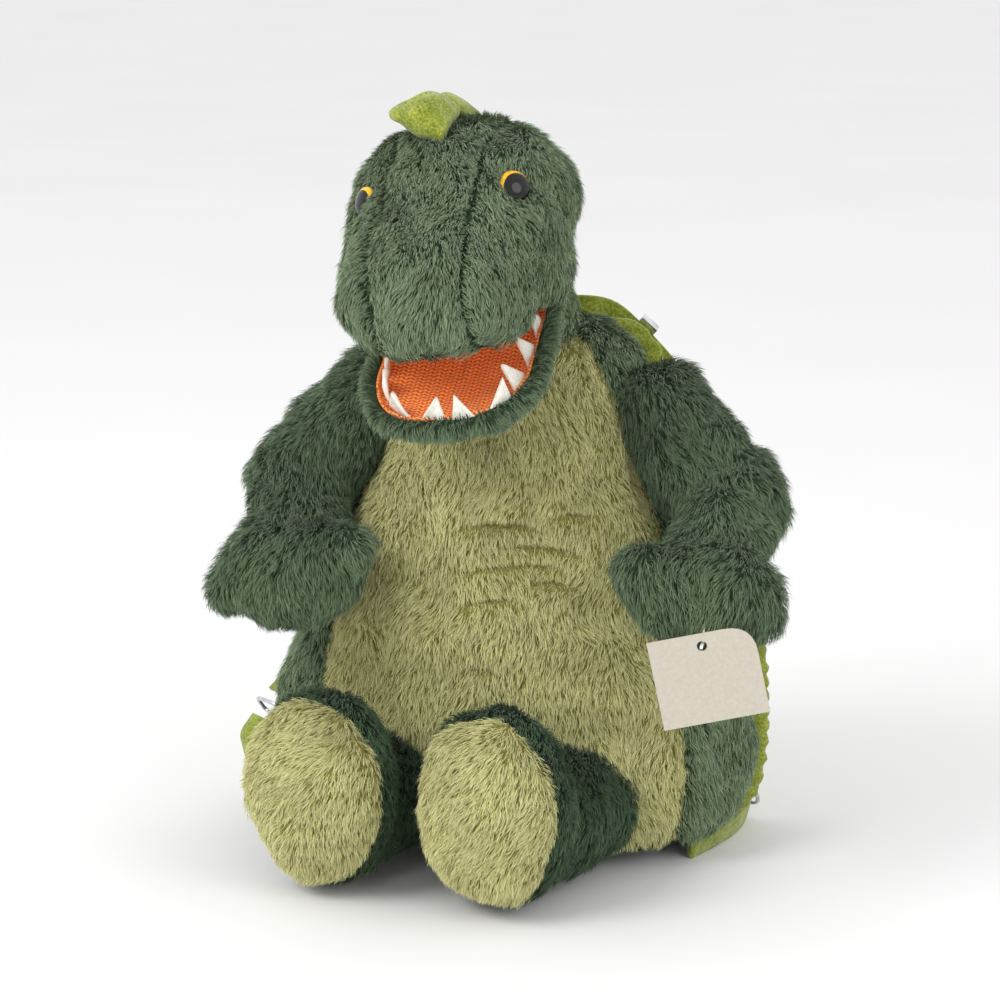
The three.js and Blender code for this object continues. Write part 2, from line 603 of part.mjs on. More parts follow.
// A bowl whose outline is a rounded rectangle, from its flat bottom up to just past the rim.
function jawBowl(inset) {
  const around = 28;
  const ring = (share, z) =>
    Array.from({ length: around }, (_, i) => jawPoint((2 * Math.PI * i) / around, inset, share, z));
  const rings = [1, 0.85, 0.7, 0.5, 0.3, 0.15, 0].map((part) => {
    const down = part * JAW_STEEPEST * RAD;
    return ring(Math.cos(down), -(JAW_DEPTH - inset) * Math.sin(down));
  });
  return loft([...rings, ring(1, MOVING_GAP)]);
}

// The neck as the jaw meets it through its swing.
const neckSeen = JAW_SWING.map((open) =>
  moved(
    localNeck,
    new THREE.Matrix4()
      .makeRotationX(-(JAW_DROP + open) * RAD)
      .multiply(new THREE.Matrix4().makeTranslation(...JAW_HINGE.map((h) => -h))),
  ),
).reduce((a, b) => a.add(b));
const placeJaw = (made) => moved(made, jawPlacing);
const jawLayer = (outer, inner) =>
  placeJaw(jawBowl(outer).subtract(jawBowl(inner)).intersect(side(Z, -FAR, 0)).subtract(neckSeen));
add("jaw_cover", jawLayer(0, JAW_WALL), MATERIAL.green);
add("jaw_lining", jawLayer(JAW_WALL + SEAM_GAP, JAW_WALL + SEAM_GAP + LINING), MATERIAL.orange);

// Felt teeth stand side by side along the rim.
const rim = new THREE.SplineCurve(
  Array.from({ length: 61 }, (_, i) => {
    const { x, y } = jawPoint((-90 + (i / 30 - 1) * TOOTH_SPREAD) * RAD, TOOTH_INSET, 1, 0);
    return new THREE.Vector2(x, y);
  }),
);
const toothBase = (TOOTH_SHARE * rim.getLength()) / TEETH;
const toothShape = new THREE.Shape([
  new THREE.Vector2(-toothBase / 2, 0),
  new THREE.Vector2(toothBase / 2, 0),
  new THREE.Vector2(0, TOOTH_HEIGHT),
]);
for (let i = 0; i < TEETH; i++) {
  const at = rim.getPointAt((i + 0.5) / TEETH);
  const along = rim.getTangentAt((i + 0.5) / TEETH);
  const standing = new THREE.Matrix4()
    .makeTranslation(at.x, at.y, FELT / 2)
    .multiply(new THREE.Matrix4().makeRotationZ(Math.atan2(along.y, along.x)))
    .multiply(new THREE.Matrix4().makeRotationX((90 - TOOTH_LEAN) * RAD));
  add("tooth_" + (i + 1), placeJaw(moved(plate(toothShape, FELT), standing)), MATERIAL.felt);
}

// ---------------------------------------------------------------- straps
const bar = (x, z) => [x, STRAP_FOOT[1], z];
for (const [which, sign] of [["left", 1], ["right", -1]]) {
  const place = (p) => mirrorX(p, sign);
  const out = [0, 1, 0];

  // The strap's foot is hemmed round the upper bar of its ring, and the tab's hem holds the lower bar.
  const [footX, , footZ] = STRAP_FOOT;
  const half = RING_SIZE[0] / 2;
  const upperBar = [place(bar(footX - half, footZ)), place(bar(footX + half, footZ))];
  const lowerBar = upperBar.map(([x, y, z]) => [x, y, z - RING_SIZE[1]]);
  const wire = (a, b) => rod(a, b, RING_WIRE, 8, 2);
  const ring = [
    wire(upperBar[0], upperBar[1]),
    wire(lowerBar[0], lowerBar[1]),
    wire(upperBar[0], lowerBar[0]),
    wire(upperBar[1], lowerBar[1]),
  ].reduce((a, b) => a.add(b));
  add("strap_ring_" + which, ring, MATERIAL.steel);

  const hemRadius = RING_WIRE + SEAM_GAP + STRAP_THICK;
  const hem = (z, width, grow = 0) => {
    const tube = new THREE.CylinderGeometry(hemRadius + grow, hemRadius + grow, width, 12).rotateZ(Math.PI / 2);
    return solid(tube.translate(sign * footX, STRAP_FOOT[1], z));
  };
  const barHole = (z) => {
    const hole = new THREE.CylinderGeometry(RING_WIRE + SEAM_GAP, RING_WIRE + SEAM_GAP, RING_SIZE[0] * 2, 10);
    return solid(hole.rotateZ(Math.PI / 2).translate(sign * footX, STRAP_FOOT[1], z));
  };
  const hemWidth = RING_SIZE[0] - 2 * RING_WIRE - 3;
  const foot = hem(footZ, hemWidth);
  const route = [...STRAP_ROUTE, [footX, STRAP_FOOT[1], footZ + hemRadius - 1]].map(place);
  const strap = band(route, STRAP_WIDTH, STRAP_THICK, out, 24);
  add("strap_" + which, strap.add(foot).subtract(barHole(footZ)), MATERIAL.lime);

  const tabHemZ = footZ - RING_SIZE[1];
  const tabRoute = [bar(footX, tabHemZ - hemRadius + 2), ...TAB_ROUTE.map((step) => offset(STRAP_FOOT, step))];
  const tab = band(tabRoute.map(place), hemWidth, STRAP_THICK, [0, 0, 1], 8).subtract(torsoForm(-SEAM_GAP));
  add("strap_tab_" + which, tab.add(hem(tabHemZ, hemWidth)).subtract(barHole(tabHemZ)), MATERIAL.lime);

  // The adjuster is a flat sleeve of metal round the strap behind the shoulder.
  const line = new THREE.CatmullRomCurve3(route.map(vec));
  const sleeve = (length, grow) => {
    const ends = [-0.5, 0, 0.5].map((k) => line.getPointAt(ADJUSTER_PLACE + (k * length) / line.getLength()));
    return band(ends.map((p) => p.toArray()), STRAP_WIDTH + 2 * grow, STRAP_THICK + 2 * grow, out, 2);
  };
  add(
    "strap_adjuster_" + which,
    sleeve(ADJUSTER_LENGTH, STRAP_ROOM + BUCKLE_BAR).subtract(sleeve(ADJUSTER_LENGTH * 2, STRAP_ROOM)),
    MATERIAL.steel,
  );
}

// ---------------------------------------------------------------- hang tag
// A card with one round corner hangs from the left hand on a plastic thread.
const tagOutline = new THREE.Shape();
const [tagW, tagH] = TAG_SIZE;
tagOutline.moveTo(-tagW / 2, -tagH);
tagOutline.lineTo(tagW / 2, -tagH);
tagOutline.lineTo(tagW / 2, -TAG_ROUND);
tagOutline.quadraticCurveTo(tagW / 2, 0, tagW / 2 - TAG_ROUND, 0);
tagOutline.lineTo(-tagW / 2, 0);
const tagPlacing = new THREE.Matrix4()
  .makeTranslation(...TAG_AT)
  .multiply(new THREE.Matrix4().makeRotationZ(TAG_TURN * RAD))
  .multiply(new THREE.Matrix4().makeRotationX(Math.PI / 2))
  .multiply(new THREE.Matrix4().makeRotationZ(-TAG_TILT * RAD));
const tagHoleAt = [0, -TAG_HOLE * 2.5, 0];
const card = plate(tagOutline, TAG_THICK).subtract(
  shifted(cylinder(TAG_HOLE, TAG_THICK * 4, 16), tagHoleAt),
);
add("hang_tag", moved(card, tagPlacing), MATERIAL.card);
const holeWorld = vec(tagHoleAt).applyMatrix4(tagPlacing);
const threadRoute = [
  [holeWorld.x, holeWorld.y - 2, holeWorld.z - 0.5],
  holeWorld.toArray(),
  [holeWorld.x, holeWorld.y + 3, holeWorld.z + 1],
  [holeWorld.x, holeWorld.y + 5, holeWorld.z + 9],
];
add("tag_thread", band(threadRoute, THREAD, THREAD, [1, 0, 0], 8), MATERIAL.plastic);

// The frame's origin is the middle of the toy's box, at the floor.
const whole = new THREE.Box3().setFromObject(root, true);
const middle = whole.getCenter(new THREE.Vector3());
root.position.set(-middle.x, -middle.y, -whole.min.z);

export default root;
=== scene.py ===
import json
import math

import bpy
import numpy as np
from mathutils import Matrix, Vector


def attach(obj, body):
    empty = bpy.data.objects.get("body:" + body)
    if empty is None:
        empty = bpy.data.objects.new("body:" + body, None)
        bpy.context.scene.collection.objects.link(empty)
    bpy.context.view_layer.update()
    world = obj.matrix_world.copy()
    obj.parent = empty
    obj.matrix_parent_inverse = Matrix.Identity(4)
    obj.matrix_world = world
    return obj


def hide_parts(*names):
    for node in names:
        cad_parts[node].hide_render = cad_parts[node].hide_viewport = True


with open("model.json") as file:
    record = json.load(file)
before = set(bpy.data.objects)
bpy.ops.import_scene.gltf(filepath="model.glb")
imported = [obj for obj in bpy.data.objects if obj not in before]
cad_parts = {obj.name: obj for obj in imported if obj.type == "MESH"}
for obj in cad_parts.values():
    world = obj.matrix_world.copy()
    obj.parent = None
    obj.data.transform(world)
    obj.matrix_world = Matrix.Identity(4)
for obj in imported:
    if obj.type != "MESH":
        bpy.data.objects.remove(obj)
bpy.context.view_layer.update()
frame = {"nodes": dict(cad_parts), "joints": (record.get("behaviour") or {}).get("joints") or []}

MM = 0.001
JOINT = {joint["name"]: joint for joint in frame["joints"]}
NECK = np.array([-6.0, 2.0, 265.0])  # mm, as the toy is drawn
SHIFT = np.array(JOINT["head_nod"]["pos_m"]) - NECK * MM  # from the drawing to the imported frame


def packed(points):
    """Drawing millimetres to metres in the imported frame."""
    return np.asarray(points, float) * MM + SHIFT


# ---------------------------------------------------------------- shader sums
class Wire:
    """A socket of a finish that can be added to and multiplied like a number."""

    def __init__(self, finish, socket):
        self.finish = finish
        self.socket = socket

    def _sum(self, operation, *values):
        return self.finish.node("Math", {"operation": operation}, values)

    def __add__(self, other):
        return self._sum("ADD", self, other)

    def __sub__(self, other):
        return self._sum("SUBTRACT", self, other)

    def __rsub__(self, other):
        return self._sum("SUBTRACT", other, self)

    def __mul__(self, other):
        return self._sum("MULTIPLY", self, other)

    def __truediv__(self, other):
        return self._sum("DIVIDE", self, other)

    def sine(self):
        return self._sum("SINE", self)

    def size(self):
        return self._sum("ABSOLUTE", self)

    __radd__ = __add__
    __rmul__ = __mul__


class Finish:
    """One of the toy's finishes: a Principled shader and the nodes that feed it."""

    def __init__(self, name, **constants):
        self.material = bpy.data.materials.new(name)
        self.material.use_nodes = True
        self.nodes = self.material.node_tree.nodes
        self.nodes.clear()
        out = self.nodes.new("ShaderNodeOutputMaterial")
        self.shader = self.nodes.new("ShaderNodeBsdfPrincipled")
        self._join(self.shader.outputs[0], out.inputs[0])
        for constant, value in constants.items():
            socket = constant.replace("_", " ").title().replace("Ior", "IOR")
            self.shader.inputs[socket].default_value = value

    def _join(self, start, end):
        self.material.node_tree.links.new(start, end)

    def node(self, kind, settings=None, sockets=(), out=0):
        """Makes a node: its settings first, then the values or wires of its sockets."""
        made = self.nodes.new("ShaderNode" + kind)
        for key, value in (settings or {}).items():
            if key == "stops":
                ramp = made.color_ramp
                while len(ramp.elements) < len(value):
                    ramp.elements.new(1)
                for element, (place, colour) in zip(ramp.elements, value):
                    element.position = place
                    element.color = (*colour, 1)
            else:
                setattr(made, key, value)
        pairs = sockets.items() if isinstance(sockets, dict) else enumerate(sockets)
        for key, value in pairs:
            if isinstance(value, Wire):
                self._join(value.socket, made.inputs[key])
            else:
                made.inputs[key].default_value = value
        return Wire(self, made.outputs[out])

    def place(self):
        return self.node("TexCoord", {}, {}, "Object")

    def axes(self, vector):
        split = self.node("SeparateXYZ", {}, {0: vector})
        return [Wire(self, socket) for socket in split.socket.node.outputs]

    def noise(self, scale, detail=2.0, stretch=None, roughness=0.5):
        place = self.place()
        if stretch:
            place = self.node("VectorMath", {"operation": "MULTIPLY"}, {0: place, 1: stretch})
        sockets = {"Vector": place, "Scale": scale, "Detail": detail, "Roughness": roughness}
        return self.node("TexNoise", {}, sockets)

    def ramp(self, factor, *stops):
        return self.node("ValToRGB", {"stops": stops}, {0: factor})

    def mix(self, factor, first, second, blend="MIX"):
        settings = {"data_type": "RGBA", "blend_type": blend}
        first, second = (c if isinstance(c, Wire) else (*c, 1) for c in (first, second))
        return self.node("Mix", settings, {0: factor, 6: first, 7: second}, 2)

    def shows(self, colour, height=None, depth=0.0005, strength=1.0, **wires):
        self._join(colour.socket, self.shader.inputs["Base Color"])
        if height is not None:
            bump = self.node("Bump", {}, {"Strength": strength, "Distance": depth, "Height": height})
            self._join(bump.socket, self.shader.inputs["Normal"])
        for name, wire in wires.items():
            self._join(wire.socket, self.shader.inputs[name.replace("_", " ").title()])
        return self.material


def srgb(red, green, blue):
    """A colour given as screen values, 0 to 255, as the shader's linear light."""
    values = [v / 255 for v in (red, green, blue)]
    return tuple(((v + 0.055) / 1.055) ** 2.4 if v > 0.04 else v / 12.92 for v in values)


def grey(value):
    return (value, value, value)


# ---------------------------------------------------------------- finishes
UV = "OFBake"
TONES = 16  # shades of hair in a pile, side by side in its map


def pile_finish(name, root, middle, tip):
    """Hair that is dark at its root and frosted at its tip, each tuft a little different."""
    finish = Finish(name, roughness=0.72, specular_ior_level=0.22, sheen_weight=0.12, sheen_roughness=0.5)
    across, along, _ = finish.axes(finish.node("UVMap", {"uv_map": UV}, {}))
    hair = finish.ramp(along, (0.0, root), (0.38, middle), (0.92, tip))
    shade = finish.ramp(across, (0.0, grey(0.72)), (0.5, grey(0.98)), (1.0, grey(1.22)))
    return finish.shows(finish.mix(1.0, hair, shade, "MULTIPLY"))


def backing_finish(name, dark, light):
    """The knitted ground that a pile stands on."""
    finish = Finish(name, roughness=0.95, specular_ior_level=0.1)
    spread = finish.noise(900, 3)
    return finish.shows(finish.ramp(spread, (0.3, dark), (0.7, light)), spread, 0.0004)


def velvet_finish(name, dark, middle, light):
    finish = Finish(name, roughness=0.85, specular_ior_level=0.2, sheen_weight=0.35, sheen_roughness=0.45)
    nap = finish.noise(800, 3, roughness=0.7)
    brushed = finish.noise(110, 2)
    colour = finish.ramp(nap * 0.85 + brushed * 0.3, (0.36, dark), (0.58, middle), (0.8, light))
    return finish.shows(colour, nap, 0.0006, 0.8)


WALE_WIDTH, ROW_HEIGHT = 0.0044, 0.0022  # one stitch of the knit, in metres
HERRINGBONE = 5200  # ribs of the zip's tape, in radians to a metre


def knit_finish(name, dark, middle, light, turn):
    """A fine knit: rows of slanting stitches with painted shade between them, and the cloth's own fuzz."""
    finish = Finish(name, roughness=0.9, specular_ior_level=0.15, sheen_weight=0.15, sheen_roughness=0.5)
    sockets = {"Vector": finish.place(), "Angle": turn}
    x, y, _ = finish.axes(finish.node("VectorRotate", {"rotation_type": "X_AXIS"}, sockets))
    column = (x * (2 * math.pi / WALE_WIDTH)).sine()
    stitch = (y * (2 * math.pi / ROW_HEIGHT) + column * 1.6).sine()
    height = stitch * 0.3 + column.size() * 0.35 + 0.35
    fuzz = finish.noise(700, 3)
    patches = finish.noise(55, 2)
    # The colour is darker where the stitches are low: painted shade in the hollows between them, with the
    # fuzz and the patches as the knit's own tone.
    stitch_shade_and_tone = height * 0.85 + fuzz * 0.2 + patches * 0.15
    colour = finish.ramp(stitch_shade_and_tone, (0.28, dark), (0.6, middle), (1.0, light))
    return finish.shows(colour, height, 0.0006, 0.9)


def felt_finish(name):
    finish = Finish(name, roughness=0.95, specular_ior_level=0.1, sheen_weight=0.1)
    fibres = finish.noise(1300, 4, (1, 1, 0.35), 0.7)
    cloudy = finish.noise(160, 2)
    colour = finish.ramp(fibres * 0.6 + cloudy * 0.4, (0.3, srgb(214, 208, 190)), (0.55, srgb(244, 241, 231)))
    return finish.shows(colour, fibres, 0.0005, 0.7)


def steel_finish(name):
    finish = Finish(name, metallic=1.0, specular_ior_level=0.5)
    rubbed = finish.noise(260, 4, (1, 1, 0.2))
    colour = finish.ramp(rubbed, (0.3, srgb(176, 178, 182)), (0.7, srgb(226, 227, 230)))
    return finish.shows(colour, rubbed, 0.00004, 0.4, roughness=rubbed * 0.22 + 0.08)


def eye_finish(name, centre, axis, radius, towards):
    """A glossy dark pupil in a gold ring, both under one clear coat."""
    finish = Finish(name, roughness=0.08, specular_ior_level=0.25, coat_weight=0.3, coat_roughness=0.02)
    pupil = Vector(centre) + Vector(towards) * radius * 0.13
    away = finish.node("VectorMath", {"operation": "SUBTRACT"}, {0: finish.place(), 1: pupil})
    flat = finish.node("VectorMath", {"operation": "CROSS_PRODUCT"}, {0: away, 1: Vector(axis)})
    reach = finish.node("VectorMath", {"operation": "LENGTH"}, {0: flat}, "Value") / radius
    rays = finish.noise(900, 2)
    gold = finish.ramp(rays, (0.3, srgb(196, 138, 10)), (0.7, srgb(240, 196, 30)))
    ring = finish.ramp(reach, (0.86, grey(0)), (0.885, grey(1)))
    rim = finish.ramp(reach, (1.0, grey(0)), (1.03, grey(1)))
    colour = finish.mix(rim, finish.mix(ring, srgb(10, 10, 12), gold), srgb(16, 14, 10))
    return finish.shows(colour)


def card_finish(name):
    finish = Finish(name, roughness=0.8, specular_ior_level=0.25)
    fibres = finish.noise(500, 5, roughness=0.7)
    colour = finish.ramp(fibres, (0.3, srgb(182, 175, 162)), (0.7, srgb(195, 188, 175)))
    return finish.shows(colour, fibres, 0.0001, 0.4)


def plastic_finish(name, colour):
    finish = Finish(name, specular_ior_level=0.45)
    skin = finish.noise(400, 3)
    dull = tuple(0.86 * c for c in colour)
    mottled = finish.ramp(skin, (0.3, dull), (0.7, colour))
    return finish.shows(mottled, skin, 0.00005, 0.3, roughness=skin * 0.15 + 0.35)


def tape_finish(name, dark, light):
    """Close herringbone tape."""
    finish = Finish(name, roughness=0.8, specular_ior_level=0.2)
    x, _, z = finish.axes(finish.place())
    weave = ((x + z) * HERRINGBONE).sine() * ((x - z) * HERRINGBONE).sine()
    fuzz = finish.noise(900, 2)
    return finish.shows(finish.ramp(weave * 0.3 + fuzz * 0.6 + 0.1, (0.2, dark), (0.7, light)), weave, 0.0002)


GREEN_PILE = pile_finish("green_pile", srgb(50, 65, 44), srgb(98, 117, 84), srgb(150, 168, 134))
# Painted shade: a darker copy of the green pile for the arms and the jaw, which stand where less light falls.
SHADED_GREEN_PILE = pile_finish("shaded_green_pile", srgb(36, 50, 34), srgb(74, 93, 66), srgb(124, 144, 112))
DARK_PILE = pile_finish("dark_green_pile", srgb(26, 44, 28), srgb(50, 74, 48), srgb(94, 118, 86))
OLIVE_PILE = pile_finish("olive_pile", srgb(128, 126, 68), srgb(186, 184, 116), srgb(222, 218, 166))
GREEN_BACKING = backing_finish("green_backing", srgb(40, 54, 38), srgb(58, 76, 55))
DARK_BACKING = backing_finish("dark_green_backing", srgb(18, 32, 23), srgb(30, 50, 37))
OLIVE_BACKING = backing_finish("olive_backing", srgb(108, 104, 50), srgb(146, 142, 80))
LIME_VELVET = velvet_finish("lime_velvet", srgb(78, 90, 22), srgb(134, 144, 48), srgb(178, 184, 92))
PALATE_WAY = math.radians(-33)  # the knit's rows lie in the mouth's own slope
KNIT_TONES = srgb(196, 76, 18), srgb(250, 126, 48), srgb(255, 186, 110)
ORANGE_KNIT = knit_finish("orange_knit", *KNIT_TONES, PALATE_WAY)
WHITE_FELT = felt_finish("white_felt")
STEEL = steel_finish("polished_metal")
CARD = card_finish("tag_card")
WHITE_PLASTIC = plastic_finish("white_plastic", srgb(240, 240, 238))
ZIP_TAPE = tape_finish("zip_tape", srgb(92, 112, 34), srgb(134, 154, 60))
ZIP_COIL = plastic_finish("zip_coil", srgb(96, 118, 40))


# ---------------------------------------------------------------- meshes
def mesh_piece(name, points, faces, finish, smooth=True):
    """A piece from points in metres and faces of one size or of mixed sizes."""
    mesh = bpy.data.meshes.new(name)
    mesh.from_pydata([tuple(p) for p in points], [], [tuple(int(i) for i in f) for f in faces])
    mesh.validate()
    mesh.polygons.foreach_set("use_smooth", [smooth] * len(mesh.polygons))
    mesh.materials.append(finish)
    piece = bpy.data.objects.new(name, mesh)
    bpy.context.scene.collection.objects.link(piece)
    return piece


def turned(axis, degrees):
    """The matrix of a turn about one axis."""
    return np.array(Matrix.Rotation(math.radians(degrees), 3, axis))


HEAD_TURN = turned("Z", -3) @ turned("Y", -8)
JAW_TURN = HEAD_TURN @ turned("X", 33)
JAW_HINGE = np.array([0.0, -44.0, 17.0])


def on_head(points):
    """From the head's own frame to the drawing's."""
    return np.asarray(points, float) @ HEAD_TURN.T + NECK


def off_head(points):
    return (np.asarray(points, float) - NECK) @ HEAD_TURN


def on_jaw(points):
    """From the jaw's own frame, with its hinge as the origin, to the drawing's."""
    return np.asarray(points, float) @ JAW_TURN.T + on_head(JAW_HINGE)


def off_jaw(points):
    return (np.asarray(points, float) - on_head(JAW_HINGE)) @ JAW_TURN


def circle(steps):
    return np.linspace(0, 2 * np.pi, steps, endpoint=False)


def loft(rings):
    """Closed form through rings of points, capped at both ends."""
    rings = np.asarray(rings, float)
    count, around = rings.shape[:2]
    faces = []
    for i in range(count - 1):
        for j in range(around):
            k = (j + 1) % around
            faces.append((i * around + j, i * around + k, (i + 1) * around + k, (i + 1) * around + j))
    faces.append(tuple(range(around))[::-1])
    faces.append(tuple((count - 1) * around + j for j in range(around)))
    return rings.reshape(-1, 3), faces


def ball(centre, radii):
    """An egg-shaped form."""
    tilt = np.radians(np.linspace(-89, 89, 24))
    way = circle(48)
    rings = [[(math.cos(t) * math.cos(a), math.cos(t) * math.sin(a), math.sin(t)) for a in way] for t in tilt]
    points, faces = loft(rings)
    return points * np.asarray(radii, float) + np.asarray(centre, float), faces


def sausage(start, end, first, last, around=40):
    """A round-ended limb from one radius to another."""
    start, end = np.asarray(start, float), np.asarray(end, float)
    along = end - start
    length = np.linalg.norm(along)
    along /= length
    side = np.cross(along, (0, 0, 1.0) if abs(along[2]) < 0.9 else (1.0, 0, 0))
    side /= np.linalg.norm(side)
    over = np.cross(along, side)
    rings = []
    for t in np.radians(np.linspace(-88, 88, 22)):
        radius = (first if t < 0 else last) * math.cos(t)
        reach = first * math.sin(t) if t < 0 else length + last * math.sin(t)
        middle = start + along * reach
        rings.append([middle + radius * (side * math.cos(a) + over * math.sin(a)) for a in circle(around)])
    return loft(rings)


CLOTH = 1.6  # how thick a pile's backing is


class Skin:
    """A closed cloth skin in the drawing's millimetres."""

    def __init__(self, name, forms, voxel, rounds):
        """Moulds overlapping forms into one skin of a voxel's fineness, smoothed by so many rounds."""
        mesh = bpy.data.meshes.new(name)
        points, faces = [], []
        for form_points, form_faces in forms:
            faces += [tuple(i + len(points) for i in f) for f in form_faces]
            points += [tuple(p) for p in form_points]
        mesh.from_pydata(points, [], faces)
        work = bpy.data.objects.new(name, mesh)
        bpy.context.scene.collection.objects.link(work)
        remesh = work.modifiers.new("moulding", "REMESH")
        remesh.mode, remesh.voxel_size = "VOXEL", voxel
        graph = bpy.context.evaluated_depsgraph_get()
        made = bpy.data.meshes.new_from_object(work.evaluated_get(graph))
        self.points = np.empty(len(made.vertices) * 3)
        made.vertices.foreach_get("co", self.points)
        self.points = self.points.reshape(-1, 3)
        corners = np.empty(len(made.loops), np.int64)
        made.loops.foreach_get("vertex_index", corners)
        self.faces = corners.reshape(-1, 4)
        bpy.data.objects.remove(work)
        self._outer()
        self._edges()
        self.smooth(rounds)

    def _outer(self):
        """Drops any closed pocket inside the skin."""
        label = np.arange(len(self.points))
        while True:
            low = label[self.faces].min(1)
            new = label.copy()
            np.minimum.at(new, self.faces.ravel(), np.repeat(low, 4))
            new = new[new]
            if (new == label).all():
                break
            label = new
        names, counts = np.unique(label, return_counts=True)
        kept = label == names[counts.argmax()]
        renumber = np.cumsum(kept) - 1
        self.faces = renumber[self.faces[kept[self.faces[:, 0]]]]
        self.points = self.points[kept]

    def _edges(self):
        f = self.faces
        pairs = np.concatenate([f[:, [0, 1]], f[:, [1, 2]], f[:, [2, 3]], f[:, [3, 0]]])
        self.edges = np.unique(np.sort(pairs, 1), axis=0)
        self.degree = np.bincount(self.edges.ravel(), minlength=len(self.points))

    def smooth(self, rounds):
        a, b = self.edges.T
        for _ in range(rounds):
            total = np.zeros_like(self.points)
            for axis in range(3):
                total[:, axis] = np.bincount(a, self.points[b, axis], len(self.points))
                total[:, axis] += np.bincount(b, self.points[a, axis], len(self.points))
            self.points += 0.5 * (total / self.degree[:, None] - self.points)

    def normals(self):
        p, f = self.points, self.faces
        across = np.cross(p[f[:, 2]] - p[f[:, 0]], p[f[:, 3]] - p[f[:, 1]])
        total = np.zeros_like(p)
        for axis in range(3):
            total[:, axis] = np.bincount(f.ravel(), np.repeat(across[:, axis], 4), len(p))
        return total / np.maximum(np.linalg.norm(total, axis=1, keepdims=True), 1e-9)

    def grow(self, amount):
        """Moves the skin out by an amount, a number or one for each point."""
        self.points += self.normals() * np.asarray(amount, float).reshape(-1, 1)

    def scatter(self, rng, per_mm2, where):
        """Random points on the skin, with the skin's normal at each."""
        p, up = self.points, self.normals()
        triangles = np.concatenate([self.faces[:, [0, 1, 2]], self.faces[:, [0, 2, 3]]])
        triangles = triangles[where(p[triangles].mean(1))]
        a, b, c = (p[triangles[:, i]] for i in range(3))
        area = np.linalg.norm(np.cross(b - a, c - a), axis=1) / 2
        wanted = rng.poisson(area * per_mm2)
        chosen = np.repeat(np.arange(len(triangles)), wanted)
        u, v = rng.random(len(chosen)), rng.random(len(chosen))
        over = u + v > 1
        u[over], v[over] = 1 - u[over], 1 - v[over]
        weights = np.stack([1 - u - v, u, v], 1)[:, :, None]
        corners = triangles[chosen]
        normal = (up[corners] * weights).sum(1)
        return (p[corners] * weights).sum(1), unit(normal)

    def panel(self, name, where, finish, body, nodes=(), thick=CLOTH):
        """Makes one sewn panel of the skin a piece, with the cloth's own thickness."""
        kept = where(self.points[self.faces].mean(1))
        faces = self.faces[kept]
        used = np.unique(faces)
        renumber = np.zeros(len(self.points), int)
        renumber[used] = np.arange(len(used))
        piece = mesh_piece(name, packed(self.points[used]), renumber[faces], finish)
        cloth = piece.modifiers.new("cloth", "SOLIDIFY")
        cloth.thickness, cloth.offset = thick * MM, -1
        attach(piece, body)
        if nodes:
            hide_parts(*nodes)


def unit(v):
    return v / np.maximum(np.linalg.norm(v, axis=-1, keepdims=True), 1e-9)


SWIRL_WAVES = 7
SWIRL_SIZE = 2.6  # what the waves add up to, more or less


def swirl(points, seed, wavelength):
    """A smooth random value, about -1 to 1, at each point."""
    rng = np.random.default_rng(seed)
    total = np.zeros(len(points))
    for _ in range(SWIRL_WAVES):
        way = unit(rng.normal(size=3)) * 2 * np.pi / (wavelength * rng.uniform(0.7, 1.5))
        total += np.sin(points @ way + rng.uniform(0, 2 * np.pi))
    return total / SWIRL_SIZE


TUFT = 3  # hairs that lean together
TUFT_RADIUS = 1.1
DENSITY = 2.0  # how much closer the hairs stand than a coat asks for
CROP = 0.74  # how short the pile is clipped
ROOT_DEPTH = 0.6  # a hair starts this far under its cloth
HAIR_THICK = (0.17, 0.26)  # half a hair's width at its root, thinnest and thickest
LOOSE_LEAN = 8  # degrees that a brushed pile lies flatter than its coat says
FLOOR_GAP = 0.0002  # metres that a hair stays over the floor

# Coats: hair length, roots to a square millimetre, and lean from upright in degrees.
BELLY_COAT = (9.0, 0.85, 56)
YOKE_COAT = (10.5, 0.7, 52)
FLANK_COAT = (10.5, 0.75, 52)
HEAD_COAT = (10.0, 0.95, 50)
JAW_COAT = (8.5, 1.0, 50)
NECK_COAT = (8.0, 0.7, 54)
ARM_COAT = (11.5, 0.8, 50)
LEG_COAT = (9.5, 0.85, 50)
SOLE_COAT = (9.0, 0.95, 56)


